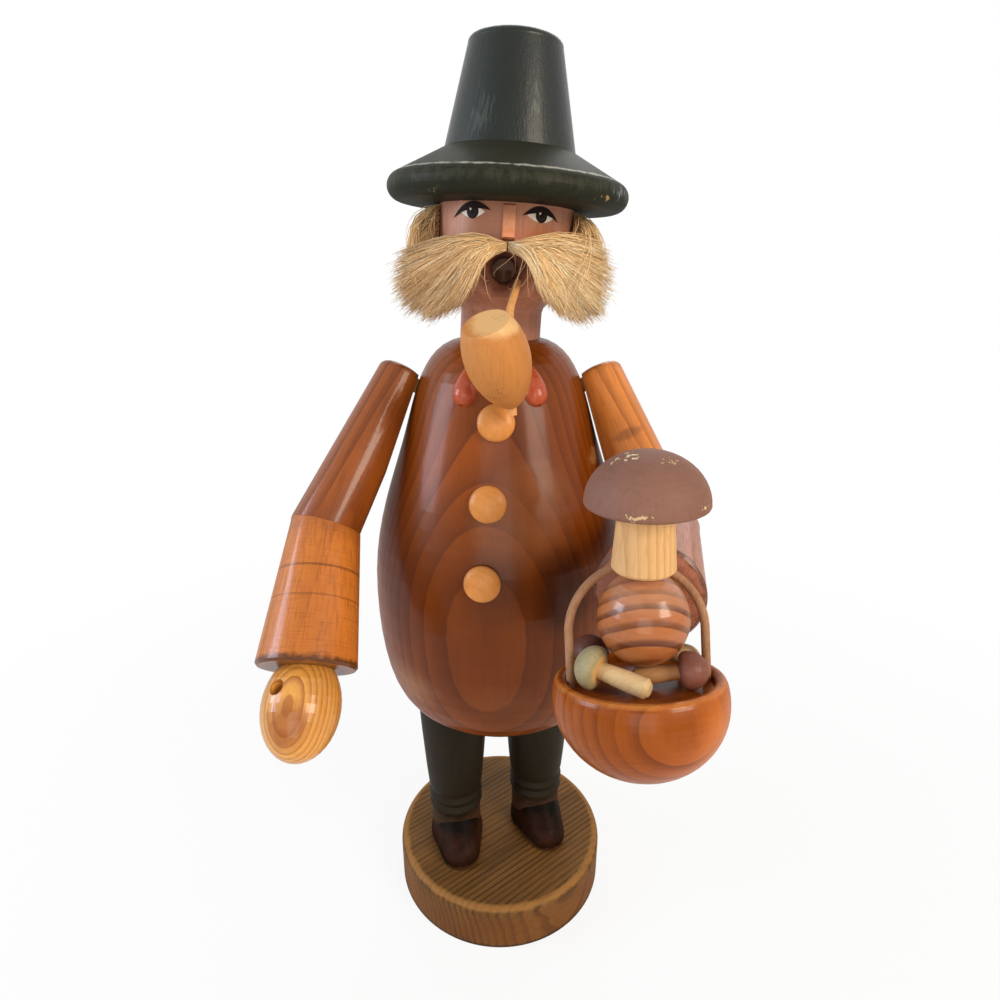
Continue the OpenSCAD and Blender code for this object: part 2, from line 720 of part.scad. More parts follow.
module right_upper_arm() { upper_arm(-1); }
module right_elbow_dowel() { elbow_dowel(-1); }
module right_forearm() { forearm(-1); }
module right_wrist_dowel() { wrist_dowel(-1); }
module left_upper_arm() { upper_arm(1); }
module left_elbow_dowel() { elbow_dowel(1); }
module left_forearm() { forearm(1); }
module left_wrist_dowel() { wrist_dowel(1); }

// An egg-shaped hand about its own centre, its long axis upright
module hand_shape(half, grow = 0) {
    steps = 20;
    turned([for (i = [0 : steps]) let (a = -90 + 180 * i / steps)
        [(hand_r + grow) * cos(a), (half + grow) * sin(a)]]);
}

module right_hand() {
    color(hand_pine) difference() {
        right_hand_frame() hand_shape(right_hand_half);
        cuff_frame(-1) dowel(wrist_dowel_r + glue_gap, -4.5, cuff_recess + 1);
        stick_hole_frame() dowel(stick_hole_r, -stick_hole_depth + hand_r, 20);
    }
}
module right_hand_frame() { cuff_frame(-1) translate([0, 0, -right_hand_off]) children(); }
// The stick hole runs through the hand's middle, up and outwards
module stick_hole_frame() { right_hand_frame() rotate([0, stick_tilt, 0]) children(); }

module left_hand() {
    color(hand_pine) difference() {
        translate(left_hand_centre) hand_shape(left_hand_half);
        cuff_frame(1) dowel(wrist_dowel_r + glue_gap, -7, 4);
        mushroom_frame() dowel(big_peg_r + glue_gap, -8.5, 2);
    }
}

// Large mushroom

module big_mushroom_stem() {
    color(plain_wood) mushroom_frame() difference() {
        turned([
            [0, 0], [big_stem_r - 0.6, 0], [big_stem_r, 0.7], [big_stem_top_r + 0.3, 0.7 * big_stem_h],
            [big_stem_top_r, big_stem_h], [0, big_stem_h]
        ]);
        dowel(big_peg_r + glue_gap, -1, big_stem_h + 1);
    }
}
module big_mushroom_cap() {
    wide_z = big_stem_h + glue_gap + big_cap_under;
    color(mauve_brown) mushroom_frame() difference() {
        translate([0, 0, wide_z]) turned(concat(
            [[0, -big_cap_under], [big_stem_top_r + 0.6, -big_cap_under]],
            curve([
                [big_stem_top_r + 0.6, -big_cap_under], [big_cap_r - 4, -big_cap_under],
                [big_cap_r, -0.6 * big_cap_under], [big_cap_r, 0]
            ], 7),
            dome(big_cap_r, big_cap_h, 14)));
        dowel(big_peg_r + glue_gap, big_stem_h - 1, big_stem_h + 6.5);
    }
}
module big_mushroom_peg() { color(plain_wood) mushroom_frame() dowel(big_peg_r, -8, big_stem_h + 6); }

// Basket

module basket_bowl() {
    wide_z = -6;
    foot_r = 5;
    belly_depth = bowl_depth + wide_z + 0.5;
    steps = 16;
    outer = [for (i = [0 : steps]) let (a = -acos(foot_r / bowl_r) * (1 - i / steps))
        [bowl_r * cos(a), wide_z + belly_depth * sin(a)]];
    crest = bowl_r - 0.5 * bowl_rim_w;
    color(basket_orange) basket_frame() difference() {
        turned(concat(
            [[0, outer[0][1]]], outer,
            curve([[bowl_r, wide_z], [bowl_r, -2.4], [crest + 1.3, 0], [crest, 0]], 6),
            curve([[crest, 0], [bowl_wall + 0.9, 0], [bowl_wall, -0.5], [bowl_wall, -1.4]], 5),
            [[bowl_wall, recess_z], [0, recess_z]]));
        for (side = [-1, 1])
            translate([side * arch_r, 0, 0]) dowel(handle_reed_r + glue_gap, -arch_foot_depth - 0.3, 1);
    }
}

module basket_handle() {
    arch_z = handle_h - arch_r;
    color(reed_tan) basket_frame() {
        translate([0, 0, arch_z]) rotate([90, 0, 0]) rotate_extrude(angle = 180)
            translate([arch_r, 0]) circle(r = handle_reed_r);
        for (side = [-1, 1])
            translate([side * arch_r, 0, 0]) dowel(handle_reed_r, -arch_foot_depth, arch_z);
    }
}

// The lying mushrooms: a stem whose foot rests on the basket's floor, and a cap on its end
tan_foot = [0.2, -13, recess_z + 2.8];
tan_neck = [-10.6, -5.6, recess_z + 5.8];
tan_stem_r = 2.6;
tan_cap_r = 5.7;
brown_foot = [-1.8, -1.6, recess_z + 2.35];
brown_neck = [9.6, -5.6, recess_z + 4.6];
brown_stem_r = 2.3;
brown_cap_r = 4.9;

module lying_stem(foot, neck, r) {
    len = norm(neck - foot);
    basket_frame() from_to(foot, neck) turned(concat(
        [[0, 0], [r - 1, 0], [r, 1], [r, 0.45 * len], [0.85 * r, len], [0, len]]));
}
module lying_cap(foot, neck, r, h) {
    under = 0.24 * h;
    basket_frame() from_to(foot, neck) translate([0, 0, norm(neck - foot) + glue_gap + under]) turned(concat(
        [[0, -under], [0.55 * r, -under]],
        curve([[0.55 * r, -under], [0.85 * r, -under], [r, -0.5 * under], [r, 0]], 5),
        dome(r, h - under, 10)));
}
module tan_mushroom_stem() { color(plain_wood) lying_stem(tan_foot, tan_neck, tan_stem_r); }
module tan_mushroom_cap() { color("#b9a886") lying_cap(tan_foot, tan_neck, tan_cap_r, 6.6); }
module brown_mushroom_stem() { color("#6b4a36") lying_stem(brown_foot, brown_neck, brown_stem_r); }
module brown_mushroom_cap() { color("#7a5242") lying_cap(brown_foot, brown_neck, brown_cap_r, 7); }

// The standing mushrooms at the back, each turned in one piece
module standing_mushroom(place, r, h) {
    stem_r = 0.42 * r;
    cap_z = 0.5 * h;
    basket_frame() translate([place[0], place[1], recess_z + glue_gap]) turned(concat(
        [[0, 0], [stem_r, 0], [0.85 * stem_r, cap_z], [0.8 * r, cap_z]],
        [for (p = dome(r, h - cap_z - 0.8, 9)) [p[0], p[1] + cap_z + 0.8]]));
}
module dark_mushroom() { color("#4a2c1e") standing_mushroom([-11.6, 6.8], 5.2, 11.5); }
module pale_mushroom() { color("#e0c07a") standing_mushroom([13, 4.8], 4.5, 8.4); }

// Pipe

// The bend is a hair thicker than the straight reed, which runs a little way into it
module pipe_stem() {
    straight = stem_front - stem_tangent;
    swell = 0.03;
    lap = 0.1;
    color(reed_tan) {
        stem_frame() dowel(stem_reed_r, -stem_depth, straight + lap);
        stem_frame() translate([0, -stem_bend_r, straight]) rotate([90, 0, 90])
            rotate_extrude(angle = stem_bend) translate([stem_bend_r, 0]) circle(r = stem_reed_r + swell);
        stem_drop_frame() dowel(stem_reed_r, stem_tangent - lap, stem_drop);
    }
}

// The solid egg-shaped bowl: its foot is where the stem comes out below it
module pipe_bowl_frame() {
    stem_drop_frame() translate([0, 0, stem_drop - stem_tail]) rotate([0, 0, pipe_yaw])
        rotate([pipe_lean - 180, 0, 0]) children();
}
module pipe_bowl() {
    wide_z = 0.62 * pipe_len;
    color(button_tan) difference() {
        pipe_bowl_frame() turned(concat(
            curve([[0, 0], [3.6, 0], [pipe_r, 0.3 * pipe_len], [pipe_r, wide_z]], 12),
            curve([[pipe_r, wide_z], [pipe_r, 0.82 * pipe_len], [pipe_top_r + 1.2, 0.94 * pipe_len],
                [pipe_top_r, pipe_len]], 8),
            [[pipe_top_r, pipe_len], [0, pipe_len]]));
        stem_drop_frame() dowel(stem_reed_r + glue_gap, stem_tangent, stem_drop + 5);
    }
}

base_disc();
right_leg();
left_leg();
right_foot();
left_foot();
foot_dowels();
leg_dowels();
seat_plug();
incense_tray();
tray_nail();
coat();
button_lower();
button_middle();
button_upper();
right_collar_end();
left_collar_end();
right_shoulder_dowel();
left_shoulder_dowel();
head();
nose();
hat_brim();
hat_crown();
hat_dowel();
right_moustache();
left_moustache();
moustache_tie();
hair_band();
right_upper_arm();
right_elbow_dowel();
right_forearm();
right_wrist_dowel();
right_hand();
left_upper_arm();
left_elbow_dowel();
left_forearm();
left_wrist_dowel();
left_hand();
big_mushroom_stem();
big_mushroom_cap();
big_mushroom_peg();
basket_bowl();
basket_handle();
tan_mushroom_stem();
tan_mushroom_cap();
brown_mushroom_stem();
brown_mushroom_cap();
dark_mushroom();
pale_mushroom();
pipe_bowl();
pipe_stem();
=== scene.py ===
import bpy
import math
import numpy as np
from mathutils import Matrix, Vector


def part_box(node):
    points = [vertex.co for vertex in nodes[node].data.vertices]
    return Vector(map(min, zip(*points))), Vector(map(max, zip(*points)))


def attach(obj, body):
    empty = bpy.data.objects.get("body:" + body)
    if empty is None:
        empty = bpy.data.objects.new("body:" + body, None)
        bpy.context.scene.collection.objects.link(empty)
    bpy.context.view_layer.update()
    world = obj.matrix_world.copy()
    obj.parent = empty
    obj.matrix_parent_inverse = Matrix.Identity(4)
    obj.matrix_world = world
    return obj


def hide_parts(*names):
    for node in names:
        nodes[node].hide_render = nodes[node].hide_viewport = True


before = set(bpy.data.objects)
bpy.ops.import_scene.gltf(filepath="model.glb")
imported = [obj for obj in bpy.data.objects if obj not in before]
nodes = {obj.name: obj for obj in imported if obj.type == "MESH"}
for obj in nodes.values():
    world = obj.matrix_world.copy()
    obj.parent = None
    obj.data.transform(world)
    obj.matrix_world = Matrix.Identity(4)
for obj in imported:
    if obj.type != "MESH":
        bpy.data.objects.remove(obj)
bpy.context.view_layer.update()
mm = 0.001


# Camera, light and floor

photoView = {"place": (0.0, -0.2273, 0.2548), "lookDown": 19.47, "lens": 23.26}
camera = bpy.data.objects.new("camera", bpy.data.cameras.new("camera"))
bpy.context.scene.collection.objects.link(camera)
camera.data.lens = photoView["lens"]
camera.data.sensor_width = 36
camera.data.clip_start = 0.01
camera.location = photoView["place"]
camera.rotation_euler = (math.radians(90 - photoView["lookDown"]), 0, 0)
bpy.context.scene.camera = camera
bpy.context.scene.view_settings.view_transform = "Standard"


def linear(hexColour):
    values = [int(hexColour[i:i + 2], 16) / 255 for i in (1, 3, 5)]
    return [v / 12.92 if v <= 0.04045 else ((v + 0.055) / 1.055) ** 2.4 for v in values] + [1]


def addNode(tree, kind, inputs=None, stops=(), **settings):
    node = tree.nodes.new("ShaderNode" + kind)
    for key, value in settings.items():
        setattr(node, key, value)
    for key, value in (inputs or {}).items():
        if isinstance(value, bpy.types.NodeSocket):
            tree.links.new(value, node.inputs[key])
        else:
            node.inputs[key].default_value = linear(value) if isinstance(value, str) else value
    for i, (place, colour) in enumerate(stops):
        if i > 1:
            node.color_ramp.elements.new(place)
        node.color_ramp.elements[i].position = place
        node.color_ramp.elements[i].color = linear(colour) if isinstance(colour, str) else (colour, colour, colour, 1)
    return node


def newMaterial(name):
    material = bpy.data.materials.new(name)
    material.use_nodes = True
    return material, material.node_tree, material.node_tree.nodes["Principled BSDF"]


lights = {
    "keySoftbox": {"place": (0.60, -0.60, 0.60), "size": 0.40, "watts": 6.0, "colour": "#fff1de"},
    "windowLeft": {"place": (-0.74, -0.14, 0.45), "size": 0.36, "watts": 4.2, "colour": "#dfe9ff"},
    "frontFill": {"place": (-0.10, -1.05, 0.35), "size": 0.60, "watts": 2.6, "colour": "#fff6ea"},
    "topBack": {"place": (0.10, 0.60, 0.80), "size": 0.50, "watts": 2.2, "colour": "#ffffff"},
}
aim = Vector((0, 0, 0.16))
for name, lamp in lights.items():
    data = bpy.data.lights.new(name, "AREA")
    data.shape = "SQUARE"
    data.size = lamp["size"]
    data.energy = lamp["watts"]
    data.color = linear(lamp["colour"])[:3]
    lampObject = bpy.data.objects.new(name, data)
    bpy.context.scene.collection.objects.link(lampObject)
    lampObject.location = lamp["place"]
    lampObject.rotation_euler = (Vector(lamp["place"]) - aim).to_track_quat("Z", "Y").to_euler()

studio = {"skyColour": "#d4d6da", "skyLevel": 0.42, "floor": "#e6e4e0", "floorGlow": 0.88, "shadowReach": (0.1, 0.42)}
world = bpy.context.scene.world or bpy.data.worlds.new("studio")
bpy.context.scene.world = world
world.use_nodes = True
sky = world.node_tree
sky.nodes.clear()
ray = addNode(sky, "LightPath").outputs
mirrored = addNode(sky, "Math", {0: ray["Is Glossy Ray"], 1: ray["Is Transmission Ray"]},
                   operation="MAXIMUM").outputs[0]
seen = addNode(sky, "Math", {0: ray["Is Camera Ray"], 1: mirrored}, operation="MAXIMUM").outputs[0]
dimSky = addNode(sky, "Background", {"Color": studio["skyColour"], "Strength": studio["skyLevel"]})
whiteSky = addNode(sky, "Background", {"Color": "#ffffff", "Strength": 1.0})
eitherSky = addNode(sky, "MixShader", {0: seen, 1: dimSky.outputs[0], 2: whiteSky.outputs[0]})
addNode(sky, "OutputWorld", {"Surface": eitherSky.outputs[0]})

# Matt paper floor: it glows white for the camera and still takes a faint shadow
floorPaper, tree, shader = newMaterial("matt white studio paper")
shader.inputs["Base Color"].default_value = linear(studio["floor"])
shader.inputs["Roughness"].default_value = 0.9
glow = addNode(tree, "Emission", {"Color": "#ffffff", "Strength": 1.0})
fromFoot = addNode(tree, "VectorMath", {0: addNode(tree, "TexCoord").outputs["Object"]},
                   operation="LENGTH").outputs["Value"]
fade = addNode(tree, "MapRange", {"Value": fromFoot, "From Min": studio["shadowReach"][0],
                                  "From Max": studio["shadowReach"][1],
                                  "To Min": studio["floorGlow"], "To Max": 1.0}).outputs[0]
share = addNode(tree, "Math", {0: addNode(tree, "LightPath").outputs["Is Camera Ray"], 1: fade}, operation="MULTIPLY")
mixed = addNode(tree, "MixShader", {0: share.outputs[0], 1: shader.outputs[0], 2: glow.outputs[0]})
tree.links.new(mixed.outputs[0], tree.nodes["Material Output"].inputs["Surface"])
bpy.ops.object.select_all(action="DESELECT")
bpy.ops.mesh.primitive_plane_add(size=6, location=(0, 0, 0))
floor = bpy.context.object
floor.name = "floor"
floor.data.materials.append(floorPaper)
print("camera, lights and floor are set")


# The places of the turned pieces, in millimetres

def shifted(x, y, z):
    return Matrix.Translation((x, y, z))


def turned(axis, degrees):
    return Matrix.Rotation(math.radians(degrees), 4, axis)


headRadius = 21.7
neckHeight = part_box("coat")[1].z / mm
headPlace = shifted(0, 0, neckHeight) @ turned("Y", 3.2)
shoulder = (35.006, 0, 219.901)
elbowDrop = -57.6
cuffDrop = -46.6
rightHandDrop, leftHandDrop = -11.2, -12.1
rightArm = shifted(-shoulder[0], 0, shoulder[2]) @ turned("Y", 27) @ turned("X", -27.5)
rightElbow = rightArm @ shifted(0, 0, elbowDrop) @ turned("Z", 46) @ turned("X", -26)
rightCuff = rightElbow @ shifted(0, 0, cuffDrop)
rightHand = rightCuff @ shifted(0, 0, rightHandDrop)
leftArm = shifted(*shoulder) @ turned("Y", -23) @ turned("X", -27.5)
leftElbow = leftArm @ shifted(0, 0, elbowDrop) @ turned("Z", -18.5) @ turned("X", -70)
leftCuff = leftElbow @ shifted(0, 0, cuffDrop)
leftHand = leftCuff @ shifted(0, 0, leftHandDrop)
basket = shifted(34.678, -75.385, 183.673) @ turned("Y", -3) @ turned("X", -16) @ shifted(0, 0, -29.2)


# Wood, with rings about a pith line, fibres along it, turning marks round the piece, stain clouds and local marks

def woodFinish(name, look):
    material, tree, shader = newMaterial(name)
    objectPlace = addNode(tree, "TexCoord").outputs["Object"]
    pithX, pithY = look.get("pith", (0, 0))
    toGrain = shifted(-pithX, -pithY, 0) @ look["grain"].inverted()
    grain = addNode(tree, "Mapping", {"Vector": objectPlace, "Location": toGrain.translation,
                                      "Rotation": toGrain.to_euler(), "Scale": (1 / mm,) * 3}).outputs[0]
    # A bowed pith closes the ovals at both ends
    if "bow" in look:
        middle, amount = look["bow"]
        away = addNode(tree, "Math", {0: addNode(tree, "SeparateXYZ", {0: grain}).outputs[2], 1: middle},
                       operation="SUBTRACT")
        away = addNode(tree, "Math", {0: away.outputs[0], 1: away.outputs[0]}, operation="MULTIPLY").outputs[0]
        away = addNode(tree, "CombineXYZ", {1: away}).outputs[0]
        grain = addNode(tree, "VectorMath", {0: away, 1: (0, -amount, 0), 2: grain},
                        operation="MULTIPLY_ADD").outputs[0]
    slow = addNode(tree, "VectorMath", {0: grain, 1: (1, 1, 0.2)}, operation="MULTIPLY").outputs[0]
    drift = addNode(tree, "TexNoise", {"Vector": slow, "Scale": look.get("driftScale", 0.04), "Detail": 2.0})
    centred = addNode(tree, "VectorMath", {0: drift.outputs["Color"], 1: (0.5, 0.5, 0.5)}, operation="SUBTRACT")
    bent = addNode(tree, "VectorMath", {0: centred.outputs[0], 1: (look.get("drift", 2.0),) * 3, 2: grain},
                   operation="MULTIPLY_ADD").outputs[0]
    across = addNode(tree, "VectorMath", {0: bent, 1: (1, 1, 0)}, operation="MULTIPLY").outputs[0]
    distance = addNode(tree, "VectorMath", {0: across}, operation="LENGTH").outputs["Value"]
    phase = addNode(tree, "Math", {0: distance, 1: 1 / look["ringGap"], 2: look.get("ringShift", 0)},
                    operation="MULTIPLY_ADD").outputs[0]
    ringNumber = addNode(tree, "Math", {0: phase}, operation="FLOOR").outputs[0]
    ringPlace = addNode(tree, "Math", {0: phase}, operation="FRACT").outputs[0]
    wave = addNode(tree, "ValToRGB", {"Fac": ringPlace}, look.get("ringShape", softRing)).outputs["Color"]
    unlike = addNode(tree, "TexWhiteNoise", {"W": ringNumber}, noise_dimensions="1D").outputs["Value"]
    unlike = addNode(tree, "MapRange", {"Value": unlike, "To Min": look.get("faintest", 0.5), "To Max": 1.0}).outputs[0]
    late = addNode(tree, "Math", {0: wave, 1: unlike}, operation="MULTIPLY").outputs[0]
    late = addNode(tree, "Math", {0: late, 1: look["ringDepth"]}, operation="MULTIPLY").outputs[0]
    colour = addNode(tree, "Mix", {0: late, 6: look["early"], 7: look["late"]}, data_type="RGBA").outputs[2]

    # Fibres are drawn about 0.4 mm wide, coarser than real ones, so that they show
    fine = addNode(tree, "VectorMath", {0: bent, 1: (1, 1, 0.05)}, operation="MULTIPLY").outputs[0]
    fibre = addNode(tree, "TexNoise", {"Vector": fine, "Scale": look.get("fibreScale", 1.3), "Detail": 3.0,
                                       "Roughness": 0.65}).outputs["Fac"]
    fibreDark = addNode(tree, "MapRange", {"Value": fibre, "From Min": 0.48, "From Max": 0.78,
                                           "To Max": look.get("fibreDepth", 0.35)}).outputs[0]
    colour = addNode(tree, "Mix", {0: fibreDark, 6: colour, 7: look["deep"]}, data_type="RGBA").outputs[2]
    cloud = addNode(tree, "TexNoise", {"Vector": slow, "Scale": look.get("cloudScale", 0.05),
                                       "Detail": 3.0}).outputs["Fac"]
    cloud = addNode(tree, "MapRange", {"Value": cloud, "From Min": 0.42, "From Max": 0.72,
                                       "To Max": look.get("cloudDepth", 0.4)}).outputs[0]
    colour = addNode(tree, "Mix", {0: cloud, 6: colour, 7: look["deep"]}, data_type="RGBA").outputs[2]
    height = addNode(tree, "Math", {0: late, 1: look.get("ringHeight", 0.03)}, operation="MULTIPLY").outputs[0]
    height = addNode(tree, "Math", {0: fibre, 1: -look.get("fibreHeight", 0.05), 2: height},
                     operation="MULTIPLY_ADD").outputs[0]
    rough = addNode(tree, "Math", {0: fibre, 1: 0.2, 2: look["rough"] - 0.1},
                    operation="MULTIPLY_ADD").outputs[0]

    # Fine lines round the piece, left by the turning tool and the brush
    if "lathe" in look:
        toLathe = look["lathe"].inverted()
        spun = addNode(tree, "Mapping", {"Vector": objectPlace, "Location": toLathe.translation,
                                         "Rotation": toLathe.to_euler(), "Scale": (1 / mm,) * 3}).outputs[0]
        spun = addNode(tree, "VectorMath", {0: spun, 1: (0.06, 0.06, 1)}, operation="MULTIPLY").outputs[0]
        tool = addNode(tree, "TexNoise", {"Vector": spun, "Scale": look.get("toolScale", 1.2), "Detail": 3.0,
                                          "Roughness": 0.7}).outputs["Fac"]
        toolDark = addNode(tree, "MapRange", {"Value": tool, "From Min": 0.52, "From Max": 0.72,
                                              "To Max": look.get("toolDepth", 0.25)}).outputs[0]
        colour = addNode(tree, "Mix", {0: toolDark, 6: colour, 7: look["deep"]}, data_type="RGBA").outputs[2]
        height = addNode(tree, "Math", {0: tool, 1: -look.get("toolHeight", 0.06), 2: height},
                         operation="MULTIPLY_ADD").outputs[0]

    # Worn lips, chips and brush strokes, and also painted shade in hollows and under things, painted shadows and
    # painted highlights, each about its own place
    for mark in look.get("marks", []):
        toMark = shifted(*[-v for v in mark["at"]]) @ mark.get("place", look["grain"]).inverted()
        spot = addNode(tree, "Mapping", {"Vector": objectPlace, "Location": toMark.translation,
                                         "Rotation": toMark.to_euler(), "Scale": (1 / mm,) * 3}).outputs[0]
        shape = spot
        if "ring" in mark:
            parts = addNode(tree, "SeparateXYZ", {0: spot}).outputs
            flat = addNode(tree, "VectorMath", {0: spot, 1: (1, 1, 0)}, operation="MULTIPLY").outputs[0]
            flat = addNode(tree, "VectorMath", {0: flat}, operation="LENGTH").outputs["Value"]
            flat = addNode(tree, "Math", {0: flat, 1: mark["ring"]}, operation="SUBTRACT").outputs[0]
            shape = addNode(tree, "CombineXYZ", {0: flat, 2: parts[2]}).outputs[0]
        shape = addNode(tree, "VectorMath", {0: shape, 1: mark["size"]}, operation="DIVIDE").outputs[0]
        away = addNode(tree, "VectorMath", {0: shape}, operation="LENGTH").outputs["Value"]
        speck = addNode(tree, "VectorMath", {0: spot, 1: mark.get("stretch", (1, 1, 1))},
                        operation="MULTIPLY").outputs[0]
        speck = addNode(tree, "TexNoise", {"Vector": speck, "Scale": mark.get("speckScale", 0.5), "Detail": 4.0,
                                           "Roughness": 0.6}).outputs["Fac"]
        ragged = mark.get("ragged", 0.6)
        amount = addNode(tree, "Math", {0: speck, 1: ragged, 2: 1 - ragged / 2}, operation="MULTIPLY_ADD").outputs[0]
        amount = addNode(tree, "Math", {0: amount, 1: away}, operation="SUBTRACT").outputs[0]
        mask = addNode(tree, "MapRange", {"Value": amount, "From Min": mark.get("cut", 0),
                                          "From Max": mark.get("cut", 0) + mark.get("edge", 0.5),
                                          "To Max": mark.get("share", 1)}).outputs[0]
        colour = addNode(tree, "Mix", {0: mask, 6: colour, 7: mark["colour"]}, data_type="RGBA").outputs[2]
        if "rough" in mark:
            rough = addNode(tree, "Mix", {0: mask, 2: rough, 3: mark["rough"]}, data_type="FLOAT").outputs[0]
        if "dent" in mark:
            height = addNode(tree, "Math", {0: mask, 1: -mark["dent"], 2: height}, operation="MULTIPLY_ADD").outputs[0]

    tree.links.new(colour, shader.inputs["Base Color"])
    tree.links.new(rough, shader.inputs["Roughness"])
    bump = addNode(tree, "Bump", {"Height": height, "Distance": mm})
    tree.links.new(bump.outputs[0], shader.inputs["Normal"])
    shader.inputs["Coat Weight"].default_value = look.get("lacquer", 0)
    shader.inputs["Coat Roughness"].default_value = look.get("lacquerRough", 0.15)
    shader.inputs["Specular IOR Level"].default_value = look.get("specular", 0.18)
    return material


softRing = [(0.0, 0.0), (0.45, 0.15), (0.86, 0.85), (0.95, 1.0), (1.0, 0.0)]
coatRing = [(0.0, 0.05), (0.3, 0.2), (0.8, 0.6), (0.95, 0.85), (1.0, 0.05)]
handRing = [(0.0, 0.0), (0.5, 0.08), (0.68, 0.75), (0.93, 1.0), (1.0, 0.0)]
sharpRing = [(0.0, 0.0), (0.55, 0.05), (0.72, 0.9), (0.94, 1.0), (1.0, 0.0)]
upright = Matrix()


def dress(material, *names):
    for name in names:
        node = nodes[name]
        node.data.materials.clear()
        node.data.materials.append(material)


# Base: sanded pine slab with raised summer wood, brown stain worn at the lip
slabGrain = turned("Z", 38) @ turned("Y", 90)
baseLook = {
    "grain": slabGrain, "pith": (20, 150), "ringGap": 2.3, "ringShape": sharpRing, "ringDepth": 0.75, "drift": 5,
    "early": "#7b5425", "late": "#3a250e", "deep": "#291909", "fibreDepth": 0.55, "cloudDepth": 0.5,
    "ringHeight": 0.3, "fibreHeight": 0.16, "rough": 0.6, "specular": 0.2,
    "marks": [
        {"at": (0, 0, 20.2), "place": upright, "ring": 42.6, "size": (2.2, 1, 1.8), "ragged": 1.2, "speckScale": 0.25,
         "colour": "#a4733a", "share": 0.65},
        {"at": (0, 0, 9), "place": upright, "ring": 44, "size": (4, 1, 10), "ragged": 0.5, "colour": "#7c420f",
         "share": 0.4},
        {"at": (0, 0, 0), "place": upright, "ring": 44, "size": (4, 1, 2.5), "ragged": 0.8, "colour": "#2a190b",
         "share": 0.7},
    ]}
dress(woodFinish("stained pine slab", baseLook), "base_disc")

# Boots: turned beech in a thin green-black paint, rubbed to brown at the ankles
bootLook = {
    "grain": upright, "pith": (0, 60), "ringGap": 1.6, "ringDepth": 0.3, "early": "#231c10", "late": "#151008",
    "deep": "#0e0b05", "rough": 0.5, "fibreHeight": 0.08, "specular": 0.12,
    "marks": [
        {"at": (0, -4, 32), "size": (60, 60, 8), "ragged": 1.6, "speckScale": 0.16, "stretch": (1, 1, 2.5),
         "colour": "#573423", "share": 0.55, "edge": 0.9},
    ]}
dress(woodFinish("painted beech boots", bootLook), "right_leg", "left_leg")
footLook = dict(bootLook, early="#0f0904", late="#080402", deep="#040201", rough=0.42, specular=0.05, marks=[
    {"at": (0, -30, 27), "size": (60, 60, 7), "ragged": 1.6, "speckScale": 0.16, "colour": "#49281b", "share": 0.5,
     "edge": 0.9},
    {"at": (0, -30, 21), "size": (60, 60, 1.6), "ragged": 1.5, "speckScale": 0.3, "colour": "#6d4a30", "share": 0.4},
])
dress(woodFinish("painted beech shoes", footLook), "right_foot", "left_foot")

# Beech left bare inside: plugs and dowels
bareLook = {"grain": upright, "pith": (0, 40), "ringGap": 1.8, "ringDepth": 0.3, "early": "#d9b07c", "late": "#bb8650",
            "deep": "#a06a3a", "rough": 0.6, "cloudDepth": 0.2, "drift": 1.5}
dress(woodFinish("bare beech", bareLook), "foot_dowels", "leg_dowels", "seat_plug", "hat_dowel", "big_mushroom_peg",
      "right_shoulder_dowel", "left_shoulder_dowel", "right_elbow_dowel", "left_elbow_dowel",
      "right_wrist_dowel", "left_wrist_dowel")

